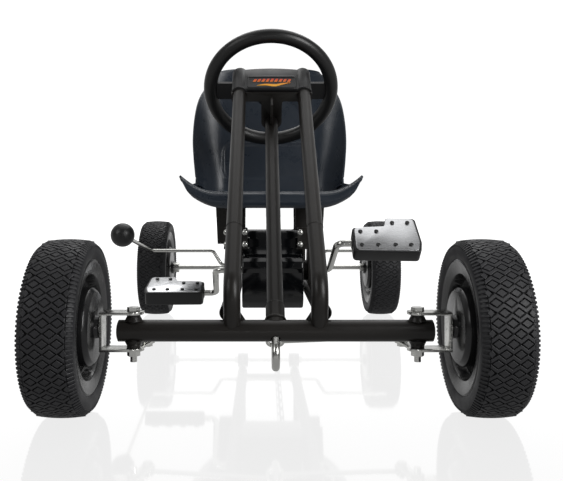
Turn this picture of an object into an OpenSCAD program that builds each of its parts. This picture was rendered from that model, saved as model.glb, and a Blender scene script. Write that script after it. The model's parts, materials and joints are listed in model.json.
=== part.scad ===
// Pedal go kart: tubular frame, linked front axle steering, chain drive to the rear axle.
// Millimetres. +Z is up, the front is -Y, the driver's left is +X.
// The origin is on the ground, halfway between the two axles.

/* [Stance] */
// Distance between the front and rear axles
wheelbase = 920; // [860:5:1100]
// Distance between the centres of the front tyres
front_track = 612; // [600:2:720]
// Distance between the centres of the rear tyres
rear_track = 620; // [600:2:720]

/* [Wheels] */
// Tyre outer diameter
wheel_d = 260; // [230:5:300]
// Tyre width
tyre_w = 76; // [60:1:82]
// Height of the tyre band over the rim
tyre_band = 30; // [22:1:34]
// Radius of the closed drum on the inner face of a rim
drum_r = 58; // [40:1:62]

/* [Frame] */
// Outer diameter of the front axle beam
beam_d = 32; // [28:1:40]
// How far the beam lies below the wheel centres
beam_drop = 6; // [0:1:12]
// Length of the front axle beam
beam_len = 464; // [450:2:520]
// Outer diameter of the frame tubes
tube_d = 25.4; // [22:0.1:30]
// Wall of every tube
tube_wall = 1.6; // [1.2:0.1:2.5]
// Distance from the middle to each steering head tube
tube_x = 64; // [58:1:70]
// Distance from the middle to each floor rail
rail_x = 71; // [68:1:80]
// Height of the floor rails
rail_z = 150; // [140:1:170]

/* [Steering] */
// Angle of the steering column above the ground
column_angle = 42; // [38:0.5:46]
// Length of the steering axis from the beam to the wheel hub
column_len = 646; // [560:2:700]
// Outer diameter of the steering wheel
steering_d = 290; // [240:2:300]
// Thickness of the foam grip
grip_d = 29; // [24:0.5:34]
// Diameter of the steering shaft
shaft_d = 12; // [10:0.5:14]
// Distance from the middle to each kingpin
kingpin_x = 210; // [200:1:220]
// Diameter of the kingpin bolt
kingpin_d = 10; // [8:0.5:12]
// Crank radius at the foot of the steering shaft
steer_throw = 38; // [32:1:44]
// Length of the steering arm on each fork
arm_len = 55; // [48:1:62]

/* [Drive] */
// Distance from the front axle to the pedal crank
crank_y = 290; // [270:2:320]
// Height of the pedal crank
crank_z = 185; // [178:1:200]
// Crank throw
crank_throw = 117; // [100:1:125]
// Angle of the forward crank arm above the ground at rest
crank_angle = 29; // [0:1:60]
// Diameter of the crank rod
crank_d = 12; // [10:0.5:14]
// Teeth on the crank chainring
chainring_teeth = 20; // [16:1:21]
// Teeth on the rear sprocket
sprocket_teeth = 15; // [12:1:19]
// Rear axle diameter
axle_d = 12; // [10:0.5:16]

/* [Pedals] */
// Width of a pedal
pedal_w = 119; // [95:1:122]
// Depth of the long outer half of a pedal
pedal_depth = 75; // [60:1:80]
// Thickness of a pedal body
pedal_t = 27; // [22:1:30]

/* [Seat] */
// Width of the seat pan
seat_w = 380; // [340:5:420]
// Height of the underside of the seat
seat_z = 303; // [300:1:330]
// Height of the backrest above the underside of the seat
back_h = 350; // [280:5:400]
// Wall of the seat shell
seat_wall = 5; // [3:0.5:8]
// Distance from the front axle to the front lip of the seat
seat_y = 410; // [408:2:440]

/* [Brake] */
// Diameter of the brake rod
brake_d = 9; // [7:0.5:10]
// Diameter of the brake knob
knob_d = 50; // [35:1:56]
// Gap between the released brake bar and the tyre
brake_gap = 9; // [6:0.5:14]

/* [Hidden] */
$fn = 64;

left = 1;
right = -1;
fit = 0.05;          // radial running clearance of every pin in its bore
gap = 0.3;           // clearance between faces that slide past each other
eps = 1;             // how far a cutter runs past the face it cuts
lap = 0.5;           // how far the straights of a bent rod run into its bends
swell = 0.06;        // how much thicker a bend is than its straights

axle_z = wheel_d / 2;
front_y = -wheelbase / 2;
rear_y = wheelbase / 2;
beam_r = beam_d / 2;
beam_z = axle_z - beam_drop;
tube_r = tube_d / 2;
rim_r = axle_z - tyre_band;

// Kingpin stack, from the axle centre line
sleeve_half = 24.5;
sleeve_r = 10;
bush_r = 7;
plate_t = 4;
fork_w = 30;
fork_reach = 48;
head_h = 6;
nut_h = 8;
stub_d = 12;

// Steering column stack, measured along the steering axis from the beam
collar_end = 46;
collar_r = 14.5;
column_end = column_len - 36;
bush_len = 18;
flange_t = 3;
hub_h = 30;
head_drop = 63;      // distance from the steering axis to the plane of the head tubes
joint_s = 154;       // seam between the lower and the upper head tubes
tube_top = column_len - 49;
spigot_len = 40;
bend_out = 30;       // how far the lower tubes bow out in front of the beam
bend_r = 42;
corner_s = (head_drop * sin(column_angle) - bend_out) / cos(column_angle);
loop_s = -28;        // where the steering shaft starts to turn back behind the beam
eye_s = [10, 26];    // the two tie rod eyes on the shaft end, left then right
eye_t = 5;
eye_slack = 6.5;
eye_pin_d = 8;
rod_d = 8;
rim_line = (steering_d - grip_d) / 2;
ackermann = atan(kingpin_x / wheelbase);

// Wheels
wheel_in = front_track / 2 - tyre_w / 2;
rear_in = rear_track / 2 - tyre_w / 2;
hub_out = 8;         // how far the hub stands proud of the tyre's inner plane
cup_floor = 10;      // hub end below the tyre's outer plane

// Forks
fork_top = sleeve_half + gap;
web_x = kingpin_x + fork_reach - plate_t;
tongue = [kingpin_x - arm_len * sin(ackermann), front_y + arm_len * cos(ackermann)];

// Steering head cover
cover_s0 = tube_top - 62;
cover_h = 75;
socket_r = tube_r + 3;
panel_w = 92;
panel_h = 56;
panel_depth = 2;
arch_r = 128;         // radius of the cover's top edge

// Chain drive
pitch = 12.7;
chain_x = 22;
ring_r = pitch / (2 * sin(180 / chainring_teeth));
sprocket_r = pitch / (2 * sin(180 / sprocket_teeth));
sprocket_t = 3;
link_h = 8.4;
link_t = 1.4;
plate_swell = 0.3;     // how far the curved link rows stand proud of the straight ones
link_gap = 3.0;      // half the free width between the inner links
pin_step = 4 * pitch;

// Hangers, case and rear brackets
hanger_t = 5;
hanger_x = rail_x - 3;
case_half = 56;
case_wall = 2.5;
case_z0 = crank_z - 66;
case_z1 = crank_z + 76;
case_front = crank_y - 62;
case_back = crank_y + 60;
housing_r = 19;
bearing_r = 14;
flange_w = 44;
bolt_rise = [51, 73];
bolt_spread = 17;
rear_end = wheelbase - 45;

// Pedal and crank path across the kart
arm_x = 108;
pedal_x = 138;
crank_bend = 14;
spindle_len = 104;
step_depth = 18;     // how much shorter the inner half of a pedal is
studs_x = [14, 42, 72, 99];

// Brake
brake_z = rail_z + 36;
bar_inner = 146;
pivot_x = 124;
bar_outer = rear_track / 2 - 4;
brake_y = wheelbase - sqrt(pow(axle_z + brake_gap + brake_d / 2, 2) - pow(brake_z - axle_z, 2));
knob_y = brake_y - 346;
knob_x = bar_outer + 6;
knob_z = brake_z + 57;

// Seat brackets
bracket_y = [604, 684];
bracket_in = rail_x - 12;
bracket_out = 127;
foot_out = rail_x + 12;
shelf_z = rail_z + 65;

steel_black = "#1d1f22";
plastic_black = "#141517";
zinc = "#c9ccce";
rubber = "#191a1c";

// ---------- helpers ----------

function unit(v) = v / norm(v);

// Mirrors a left-hand piece to the asked side
module on_side(side) {
    if (side == left) children();
    else mirror([1, 0, 0]) children();
}

module both_sides() {
    children();
    mirror([1, 0, 0]) children();
}

// Frame of the steering axis: local Z runs up the column, local Y points back and down
module on_column(s = 0) {
    translate([0, front_y, beam_z])
        rotate([column_angle - 90, 0, 0])
            translate([0, 0, s])
                children();
}

// A round bar between two points
module bar(a, b, d) {
    v = b - a;
    translate(a)
        rotate([0, acos(v[2] / norm(v)), atan2(v[1], v[0])])
            cylinder(d = d, h = norm(v));
}

// A bar along +X from the plane x0 to x1
module bar_x(x0, x1, r) {
    translate([x0, 0, 0])
        rotate([0, 90, 0])
            cylinder(r = r, h = x1 - x0);
}

// Distance from a bend's corner to where its arc starts
function trim(p, i, r) =
    i == 0 || i == len(p) - 1 ? 0
    : r * tan(acos(unit(p[i] - p[i - 1]) * unit(p[i + 1] - p[i])) / 2);

// The arc that rounds corner i of a bent rod
module bend(p, i, d, r) {
    u = unit(p[i] - p[i - 1]);
    w = unit(p[i + 1] - p[i]);
    n = unit(w - u * (u * w));
    c = p[i] - u * trim(p, i, r) + n * r;
    k = cross(-n, u);
    multmatrix([
        [-n[0], u[0], k[0], c[0]],
        [-n[1], u[1], k[1], c[1]],
        [-n[2], u[2], k[2], c[2]],
        [0, 0, 0, 1]])
        rotate_extrude(angle = acos(u * w))
            translate([r, 0])
                circle(d = d);
}

// A round rod that follows points and is bent to radius r at each corner; the straights end
// just inside the bends, which are a hair thicker
module bent_rod(p, d, r) {
    last = len(p) - 1;
    for (i = [0 : last - 1]) {
        u = unit(p[i + 1] - p[i]);
        a = i == 0 ? 0 : trim(p, i, r) - lap;
        b = i + 1 == last ? 0 : trim(p, i + 1, r) - lap;
        bar(p[i] + u * a, p[i + 1] - u * b, d);
    }
    for (i = [1 : 1 : last - 1])
        bend(p, i, d + swell, r);
}

// The same path as a tube, open at both ends
module bent_tube(p, d, wall, r) {
    last = len(p) - 1;
    bore = [for (i = [0 : last])
        i == 0 ? p[0] - unit(p[1] - p[0]) * eps
        : i == last ? p[last] + unit(p[last] - p[last - 1]) * eps
        : p[i]];
    difference() {
        bent_rod(p, d, r);
        bent_rod(bore, d - 2 * wall, r);
    }
}

module dome_bolt(head_r, shank_d, shank) {
    translate([0, 0, -shank])
        cylinder(d = shank_d, h = shank);
    intersection() {
        translate([0, 0, head_r * 0.6 - head_r * 1.25])
            sphere(r = head_r * 1.25);
        cylinder(r = head_r, h = head_r);
    }
}

module hex(across, h) {
    cylinder(d = across / cos(30), h = h, $fn = 6);
}

// A spur gear outline with rounded chain teeth, as a plate around Z
module sprocket_plate(teeth, pitch_r, t) {
    difference() {
        cylinder(r = pitch_r + 2.6, h = t);
        for (i = [0 : teeth - 1])
            rotate((i + 0.5) * 360 / teeth)
                translate([pitch_r, 0, -eps])
                    cylinder(r = 4.1, h = t + 2 * eps);
    }
}

// ---------- frame ----------

// Upright sleeve for a kingpin, with a weld flare above and below the beam
module kingpin_sleeve_solid() {
    translate([kingpin_x, front_y, beam_z]) {
        translate([0, 0, -sleeve_half])
            cylinder(r = sleeve_r, h = 2 * sleeve_half);
        for (up = [0, 1])
            mirror([0, 0, up])
                translate([0, 0, beam_r - 1.5])
                    cylinder(r1 = sleeve_r + 3.5, r2 = sleeve_r + 0.5, h = 6);
    }
}

module beam_outer() {
    translate([0, front_y, beam_z])
        bar_x(-beam_len / 2, beam_len / 2, beam_r);
}

module front_axle_beam() {
    color(steel_black)
    difference() {
        union() {
            difference() {
                beam_outer();
                for (side = [left, right])
                    on_side(side)
                        translate([0, front_y, beam_z])
                            bar_x(collar_r + 4, beam_len / 2 - 6, beam_r - 2.5);
            }
            both_sides()
                kingpin_sleeve_solid();
            on_column()
                cylinder(r = collar_r, h = collar_end);
        }
        both_sides()
            translate([kingpin_x, front_y, beam_z - sleeve_half - eps])
                cylinder(r = bush_r, h = 2 * (sleeve_half + eps));
        on_column(collar_end - bush_len)
            cylinder(r = bush_r + 3, h = bush_len + eps);
        on_column(-beam_d)
            cylinder(d = shaft_d + 2, h = beam_d + collar_end);
    }
}

// Corner points of a lower head tube in the plane of its side, from the beam up to the seam
function head_line(s) = [
    0,
    front_y + s * cos(column_angle) - head_drop * sin(column_angle),
    beam_z + s * sin(column_angle) + head_drop * cos(column_angle)];

module lower_tube(side) {
    x = [side * tube_x, 0, 0];
    base = [side * tube_x, front_y, beam_z + 4];
    color(steel_black)
    difference() {
        union() {
            bent_tube([base, x + head_line(corner_s), x + head_line(joint_s)], tube_d, tube_wall, bend_r);
            // spigot that the upper tube slides over, pressed into the lower tube
            translate([side * tube_x, -head_drop, 0]) {
                on_column_line(joint_s - 20, 20, tube_r - tube_wall + 0.2, tube_wall);
                on_column_line(joint_s - 1, spigot_len, tube_r - tube_wall - 0.1, tube_wall);
            }
            // gusset inside the foot of the tube
            translate([side * (tube_x - tube_r - 5), front_y + 2, beam_z + 6])
                rotate([90, 0, 0])
                    linear_extrude(height = plate_t, center = true)
                        polygon([[-8, 0], [8, 0], [side * 8, 24]]);
        }
        beam_outer();
    }
}

// A straight tube in the plane of the head tubes; the caller has already moved to its side
module on_column_line(s, h, r, wall) {
    translate([0, head_drop, 0])
        on_column(s)
            translate([0, -head_drop, 0])
                difference() {
                    cylinder(r = r, h = h);
                    translate([0, 0, -eps])
                        cylinder(r = r - wall, h = h + 2 * eps);
                }
}

module upper_tube(side) {
    color(steel_black)
        translate([side * tube_x, -head_drop, 0])
            on_column_line(joint_s, tube_top - joint_s, tube_r, tube_wall);
}

module column_tube() {
    color(steel_black)
        on_column(collar_end)
            difference() {
                cylinder(r = tube_r, h = column_end - collar_end);
                translate([0, 0, -eps])
                    cylinder(r = tube_r - tube_wall, h = column_end - collar_end + 2 * eps);
            }
}

module flanged_bush(outer, inner, h, flange) {
    difference() {
        union() {
            cylinder(r = outer, h = h);
            translate([0, 0, h])
                cylinder(r = outer + flange, h = flange_t);
        }
        translate([0, 0, -eps])
            cylinder(r = inner, h = h + flange_t + 2 * eps);
    }
}

module column_bushes() {
    color("#e6e4dc") {
        on_column(collar_end - bush_len)
            difference() {
                cylinder(r = bush_r + 3, h = bush_len);
                translate([0, 0, -eps])
                    cylinder(d = shaft_d + 2 * fit, h = bush_len + 2 * eps);
            }
        on_column(column_end - bush_len)
            flanged_bush(tube_r - tube_wall, shaft_d / 2 + fit, bush_len, tube_wall);
    }
}

module head_bracket() {
    s = cover_s0 - plate_t - 2;
    color(steel_black)
        on_column(s)
            difference() {
                union() {
                    translate([-tube_x - tube_r - 3, -head_drop - 6, 0])
                        cube([2 * (tube_x + tube_r + 3), 20, plate_t]);
                    translate([-tube_r - 8, -head_drop, 0])
                        cube([2 * tube_r + 16, head_drop, plate_t]);
                    cylinder(r = tube_r + 8, h = plate_t);
                    translate([-plate_t / 2, -head_drop + 2, -30])
                        cube([plate_t, head_drop - tube_r - 2, 31]);
                }
                for (x = [-tube_x, tube_x])
                    translate([x, -head_drop, -eps])
                        cylinder(r = tube_r, h = plate_t + 2 * eps);
                translate([0, 0, -40])
                    cylinder(r = tube_r, h = 60);
            }
}

module head_cover() {
    color(plastic_black)
        on_column(cover_s0)
            translate([0, -head_drop, 0])
                difference() {
                    union() {
                        for (x = [-tube_x, tube_x])
                            translate([x, 0, 0]) {
                                cylinder(r = socket_r, h = cover_h - 8);
                                translate([0, 0, cover_h - 8])
                                    intersection() {
                                        sphere(r = socket_r);
                                        cylinder(r = socket_r, h = 12);
                                    }
                            }
                        // front shell, arched on top between the sockets
                        translate([-tube_x, -socket_r + 1, 0])
                            cube([2 * tube_x, 10, cover_h - 8]);
                        translate([0, -socket_r + 1, cover_h - arch_r])
                            rotate([-90, 0, 0])
                                intersection() {
                                    cylinder(r = arch_r, h = 10, $fn = 96);
                                    translate([-tube_x + 4, -arch_r - eps, 0])
                                        cube([2 * tube_x - 8, 40, 10]);
                                }
                    }
                    for (x = [-tube_x, tube_x])
                        translate([x, 0, -eps])
                            cylinder(r = tube_r + 0.1, h = tube_top - cover_s0 + 0.5 + eps);
                    translate([-panel_w / 2, -socket_r + 1 - eps, 6])
                        cube([panel_w, panel_depth + eps, panel_h]);
                }
}

module head_badge() {
    color("#c8461e")
        on_column(cover_s0 + 6 + gap)
            translate([-panel_w / 2 + gap, -head_drop - socket_r + 1 + panel_depth - 1, 0])
                cube([panel_w - 2 * gap, 1, panel_h - 2 * gap]);
}

module rail(side) {
    color(steel_black)
    difference() {
        translate([side * rail_x, front_y + 4, rail_z])
            rotate([-90, 0, 0])
                difference() {
                    cylinder(r = tube_r, h = rear_end - 4);
                    translate([0, 0, -eps])
                        cylinder(r = tube_r - tube_wall, h = rear_end - 4 + 2 * eps);
                }
        beam_outer();
        translate([side * tube_x, front_y, beam_z])
            cylinder(r = tube_r + 0.2, h = 2 * (rail_z - beam_z));
        bent_rod([
            [side * tube_x, front_y, beam_z + 4],
            [side * tube_x, 0, 0] + head_line(corner_s),
            [side * tube_x, 0, 0] + head_line(joint_s)], tube_d + 0.4, bend_r);
        translate([side * rail_x, front_y + brake_y, rail_z])
            rotate([0, 90, 0])
                cylinder(d = brake_d + 5, h = 40, center = true);
    }
}

// A vertical plate in the YZ plane at the outer side x
module side_plate(x, t, points) {
    translate([x, front_y, 0])
        rotate([90, 0, 90])
            linear_extrude(height = t)
                polygon(points);
}

module rear_bracket(side) {
    color(steel_black)
    on_side(side)
        difference() {
            union() {
                side_plate(rail_x - hanger_t / 2, hanger_t, [
                    [rear_end - 60, rail_z - 8], [wheelbase - 8, axle_z - 19], [wheelbase + 8, axle_z - 19],
                    [wheelbase + 19, axle_z], [wheelbase + 8, axle_z + 18], [rear_end - 60, rail_z + 8]]);
                translate([rail_x - 14, rear_y, axle_z])
                    rotate([0, 90, 0])
                        cylinder(r = housing_r, h = 28);
                // cross tube half that ties the two rails together
                translate([0, front_y + rear_end - 60, rail_z])
                    rotate([0, 90, 0])
                        cylinder(r = 8, h = rail_x);
            }
            translate([rail_x - 14 - eps, rear_y, axle_z])
                rotate([0, 90, 0])
                    cylinder(r = bearing_r, h = 28 + 2 * eps);
            // the rail is slotted over the plate
            translate([rail_x, front_y + rear_end - 80, rail_z])
                rotate([-90, 0, 0])
                    cylinder(r = tube_r, h = 80);
        }
}

module bearing(h) {
    difference() {
        cylinder(r = bearing_r, h = h);
        translate([0, 0, -eps])
            cylinder(d = axle_d + 2 * fit, h = h + 2 * eps);
    }
}

module rear_bearings() {
    color("#8d9194")
        both_sides()
            translate([rail_x - 14, rear_y, axle_z])
                rotate([0, 90, 0])
                    bearing(28);
}

module crank_hanger(side) {
    rail_top = rail_z + tube_r;
    color(steel_black)
    on_side(side)
        difference() {
            union() {
                side_plate(hanger_x - hanger_t / 2, hanger_t, [
                    [crank_y - 42, rail_z + 4], [crank_y - 34, crank_z + 40], [crank_y - 34, crank_z + 80],
                    [crank_y + 10, crank_z + 80], [crank_y + 24, crank_z], [crank_y + 42, rail_z + 4]]);
                translate([hanger_x - 9, front_y + crank_y, crank_z])
                    rotate([0, 90, 0])
                        cylinder(r = housing_r, h = 24);
                // bolted clamp face behind the head tube
                translate([hanger_x - flange_w / 2, front_y + crank_y - 34 - plate_t, crank_z + 42])
                    cube([flange_w, plate_t, 40]);
            }
            translate([hanger_x - 9 - eps, front_y + crank_y, crank_z])
                rotate([0, 90, 0])
                    cylinder(r = bearing_r, h = 24 + 2 * eps);
            translate([rail_x, front_y + crank_y - 60, rail_z])
                rotate([-90, 0, 0])
                    cylinder(r = tube_r, h = 120);
            for (x = [-1, 1], z = bolt_rise)
                translate([hanger_x + x * bolt_spread, front_y + crank_y - 30, crank_z + z])
                    rotate([90, 0, 0])
                        cylinder(d = 6, h = 20);
        }
}

module hanger_bolts() {
    color(zinc)
        both_sides()
            for (x = [-1, 1], z = bolt_rise)
                translate([hanger_x + x * bolt_spread, front_y + crank_y - 34 - plate_t, crank_z + z])
                    rotate([90, 0, 0]) {
                        dome_bolt(5.5, 6, plate_t);
                        translate([0, 0, -plate_t - 5])
                            hex(10, 5);
                    }
}

module crank_bearings() {
    color("#8d9194")
        both_sides()
            translate([hanger_x - 9, front_y + crank_y, crank_z])
                rotate([0, 90, 0])
                    difference() {
                        cylinder(r = bearing_r, h = 24);
                        translate([0, 0, -eps])
                            cylinder(d = crank_d + 2 * fit, h = 24 + 2 * eps);
                    }
}

module seat_bracket(side) {
    outline = [
        [bracket_in, rail_z], [foot_out, rail_z], [foot_out, shelf_z], [bracket_out - 4, shelf_z],
        [bracket_out, seat_z], [bracket_in, seat_z]];
    color(steel_black)
    on_side(side)
        difference() {
            union() {
                for (y = bracket_y)
                    translate([0, front_y + y + plate_t, 0])
                        rotate([90, 0, 0])
                            linear_extrude(height = plate_t)
                                polygon(outline);
                translate([bracket_in, front_y + bracket_y[0], seat_z - plate_t])
                    cube([bracket_out - bracket_in, bracket_y[1] - bracket_y[0], plate_t]);
            }
            translate([rail_x, front_y + bracket_y[0] - 20, rail_z])
                rotate([-90, 0, 0])
                    cylinder(r = tube_r, h = 140);
            seat_bolt_places()
                cylinder(d = 8, h = 20, center = true);
        }
}

module seat_bolt_places() {
    for (y = [bracket_y[0] + 22, bracket_y[1] - 18])
        translate([(foot_out + bracket_out) / 2 - 2, front_y + y, seat_z - plate_t])
            children();
}

module seat_bolts() {
    color(zinc)
        both_sides()
            seat_bolt_places() {
                cylinder(d = 8, h = plate_t);
                translate([0, 0, -6])
                    hex(13, 6);
            }
}

// Side view of the seat surface: distance behind the lip, height over the underside,
// half width as a share of the pan's, rise of the edges
seat_rows = [
    [4, -1, 0.86, 26], [-3, 10, 0.93, 30], [0, 24, 0.97, 34], [18, 33, 1, 36], [60, 27, 1, 38],
    [110, 15, 0.98, 42], [155, seat_wall, 0.96, 48], [285, seat_wall, 0.94, 56],
    [298, 22, 0.93, 58], [307, 60, 0.93, 58], [313, 110, 0.96, 52], [319, 160, 0.98, 44],
    [326, 215, 0.97, 34], [332, 262, 0.93, 24], [337, 298, 0.84, 16], [342, back_h - 14, 0.68, 10],
    [349, back_h, 0.46, 6]];
seat_cols = [for (i = [-8 : 8]) i / 8];
flat_share = 0.66;
last_pan_row = 7;

function seat_tangent(i) =
    let (a = seat_rows[max(i - 1, 0)], b = seat_rows[min(i + 1, len(seat_rows) - 1)])
    unit([0, b[0] - a[0], b[1] - a[1]]);
// Straight up where the pan is flat over its brackets, else square to the surface
function seat_inward(i) =
    let (t = i == last_pan_row - 1 || i == last_pan_row ? [0, 1, 0] : seat_tangent(i))
    [0, -t[2], t[1]];
// The pan's edges rise, and the backrest's edges come forward
function seat_rise(i) = i <= last_pan_row ? [0, 0, 1] : seat_inward(i);
function seat_point(i, v) =
    let (r = seat_rows[i], e = max(0, abs(v) - flat_share) / (1 - flat_share))
    [v * r[2] * seat_w / 2, front_y + seat_y + r[0], seat_z + r[1]] + seat_rise(i) * r[3] * e * e;
function seat_under(i, v) = seat_point(i, v) - seat_inward(i) * seat_wall;

module seat() {
    n = len(seat_cols);
    m = len(seat_rows);
    top = [for (i = [0 : m - 1], v = seat_cols) seat_point(i, v)];
    under = [for (i = [0 : m - 1], v = seat_cols) seat_under(i, v)];
    o = n * m;
    faces = concat(
        [for (i = [0 : m - 2], j = [0 : n - 2], k = [0, 1])
            let (a = i * n + j, b = a + 1, c = a + n, d = c + 1)
            k == 0 ? [a, c, b] : [b, c, d]],
        [for (i = [0 : m - 2], j = [0 : n - 2], k = [0, 1])
            let (a = o + i * n + j, b = a + 1, c = a + n, d = c + 1)
            k == 0 ? [a, b, c] : [b, d, c]],
        [for (j = [0 : n - 2], k = [0, 1])
            k == 0 ? [j, j + 1, o + j] : [j + 1, o + j + 1, o + j]],
        [for (j = [0 : n - 2], k = [0, 1])
            let (a = (m - 1) * n + j)
            k == 0 ? [a, o + a, a + 1] : [a + 1, o + a, o + a + 1]],
        [for (i = [0 : m - 2], k = [0, 1])
            let (a = i * n)
            k == 0 ? [a, o + a, a + n] : [a + n, o + a, o + a + n]],
        [for (i = [0 : m - 2], k = [0, 1])
            let (a = i * n + n - 1)
            k == 0 ? [a, a + n, o + a] : [a + n, o + a + n, o + a]]);
    color("#23272c")
        polyhedron(points = concat(top, under), faces = faces);
}

// Outline of the drive case in side view, as [distance behind the front axle, height]
upper_outline = [
    [case_front + 4, crank_z], [case_front, crank_z + 9], [case_front + 3, crank_z + 20],
    [case_front + 12, crank_z + 27], [case_front + 26, crank_z + 33], [case_front + 36, crank_z + 44],
    [case_front + 37, case_z1 - 14],
    [case_front + 48, case_z1], [case_back - 12, case_z1], [case_back, case_z1 - 14], [case_back, crank_z]];
lower_outline = [
    [case_front + 6, crank_z], [case_front + 6, case_z0 + 14], [case_front + 20, case_z0],
    [case_back, case_z0], [case_back, crank_z]];
case_screw_spots = [[case_back - 8, crank_z + 20], [case_back - 8, crank_z - 12]];

// The outline moved in by the wall, left open at the seam and at the back where the chain leaves
function inside(outline, z_end) =
    let (kx = 1 - case_wall / (case_back - case_front), kz = 1 - case_wall / abs(z_end - crank_z),
        open = z_end > crank_z ? -eps : eps)
    [for (p = outline)
        [case_back + (p[0] - case_back) * kx + eps, crank_z + (p[1] - crank_z) * kz + open]];

module case_shell(outline, z_end) {
    color("#0d0e10")
    difference() {
        translate([-case_half, front_y, 0])
            rotate([90, 0, 90])
                linear_extrude(height = 2 * case_half)
                    polygon(outline);
        translate([-case_half + case_wall, front_y, 0])
            rotate([90, 0, 90])
                linear_extrude(height = 2 * (case_half - case_wall))
                    polygon(inside(outline, z_end));
        translate([0, front_y + crank_y, crank_z])
            bar_x(-case_half - eps, case_half + eps, crank_d / 2 + 3);
        for (p = case_screw_spots)
            translate([0, front_y + p[0], p[1]])
                bar_x(-case_half - eps, case_half + eps, 2);
    }
}

module case_upper() {
    case_shell(upper_outline, case_z1);
}

module case_lower() {
    case_shell(lower_outline, case_z0);
}

module case_screws() {
    color(zinc)
        both_sides()
            for (p = case_screw_spots)
                translate([0, front_y + p[0], p[1]]) {
                    bar_x(case_half - case_wall, case_half, 2);
                    bar_x(case_half, case_half + 2, 4);
                }
}

// Direction of a straight chain run: k = 1 is the upper run, k = -1 the lower one
chain_v = [wheelbase - crank_y, axle_z - crank_z];
chain_lean = atan2(chain_v[1], chain_v[0]);
chain_tip = acos((ring_r - sprocket_r) / norm(chain_v));
chain_reach = sqrt(pow(norm(chain_v), 2) - pow(ring_r - sprocket_r, 2));

// Moves children to the start of a chain run, with X along the run and Y away from the loop
module on_run(k) {
    a = chain_lean + k * chain_tip;
    translate([crank_y + ring_r * cos(a), crank_z + ring_r * sin(a)])
        rotate(a - k * 90)
            children();
}

// One row of link plates in side view, as a flat ring t thick
module link_row(t) {
    for (k = [-1, 1])
        on_run(k)
            translate([-lap, -link_h / 2, 0])
                cube([chain_reach + 2 * lap, link_h, t]);
    translate([crank_y, crank_z])
        rotate(chain_lean + chain_tip)
            rotate_extrude(angle = 360 - 2 * chain_tip)
                translate([ring_r - link_h / 2 - plate_swell, 0])
                    square([link_h + 2 * plate_swell, t]);
    translate([wheelbase, axle_z])
        rotate(chain_lean - chain_tip)
            rotate_extrude(angle = 2 * chain_tip)
                translate([sprocket_r - link_h / 2 - plate_swell, 0])
                    square([link_h + 2 * plate_swell, t]);
}

module drive_chain() {
    color("#5a5d60")
        translate([chain_x, front_y, 0])
            rotate([90, 0, 90]) {
                translate([0, 0, link_gap])
                    link_row(link_t);
                translate([0, 0, -link_gap - link_t])
                    link_row(link_t);
                for (k = [-1, 1], x = [30 : pin_step : chain_reach - 30])
                    on_run(k)
                        translate([x, 0, -link_gap - 0.2])
                            cylinder(r = 3.4, h = 2 * link_gap + 0.4);
            }
}

module kingpin_bushes() {
    color("#e6e4dc")
        both_sides()
            for (z = [0, 1])
                translate([kingpin_x, front_y, beam_z])
                    mirror([0, 0, z])
                        difference() {
                            translate([0, 0, sleeve_half - bush_len])
                                cylinder(r = bush_r, h = bush_len);
                            cylinder(d = kingpin_d + 2 * fit, h = sleeve_half + eps);
                        }
}

module brake_bushes() {
    color("#e6e4dc")
        both_sides()
            translate([0, front_y + brake_y, rail_z])
                difference() {
                    union() {
                        bar_x(rail_x - tube_r - 3, rail_x + tube_r + 3, brake_d / 2 + 2.5);
                    }
                    bar_x(rail_x - tube_r - 6, rail_x + tube_r + 6, brake_d / 2 + fit);
                }
}

// ---------- steering ----------

module steering_shaft() {
    turn_r = steer_throw / 2;
    color(zinc)
    on_column() {
        translate([0, 0, loop_s])
            cylinder(d = shaft_d, h = column_len + 8 - loop_s);
        translate([0, turn_r, loop_s])
            rotate([90, 0, -90])
                mirror([0, 1, 0])
                    rotate_extrude(angle = 180)
                        translate([turn_r, 0])
                            circle(d = shaft_d);
        translate([0, steer_throw, loop_s])
            cylinder(d = shaft_d, h = eye_s[0] - 4 - loop_s);
        translate([0, steer_throw, eye_s[0] - 4])
            cylinder(d = eye_pin_d, h = eye_s[1] - eye_s[0] + 12);
    }
}

module steering_wheel() {
    color(plastic_black)
    on_column(column_len)
        difference() {
            union() {
                rotate_extrude($fn = 96)
                    translate([rim_line, 0])
                        circle(r = 6);
                translate([0, 0, -hub_h + 6])
                    cylinder(r = 30, h = hub_h);
                for (a = [0, 180])
                    rotate(a)
                        translate([24, -20, -5])
                            cube([rim_line - 28, 40, 7]);
                translate([-12, 24, -5])
                    cube([24, rim_line - 28, 7]);
            }
            translate([0, 0, -hub_h])
                cylinder(d = shaft_d, h = hub_h + 20);
        }
}

module steering_grip() {
    color("#18191a")
    on_column(column_len)
        difference() {
            rotate_extrude($fn = 96)
                translate([rim_line, 0])
                    circle(d = grip_d);
            rotate_extrude($fn = 96)
                translate([rim_line, 0])
                    circle(r = 6);
            for (a = [0, 180])
                rotate(a)
                    translate([24, -20, -5])
                        cube([rim_line - 28, 40, 7]);
            translate([-12, 24, -5])
                cube([24, rim_line - 28, 7]);
        }
}

module steering_cap() {
    color(plastic_black)
    on_column(column_len + 6)
        difference() {
            union() {
                cylinder(r = 27, h = 8);
                translate([0, 0, 8])
                    cylinder(r1 = 27, r2 = 22, h = 5);
            }
            translate([0, 0, -eps])
                cylinder(d = shaft_d, h = 4 + eps);
        }
}

// ---------- knuckles ----------

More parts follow.
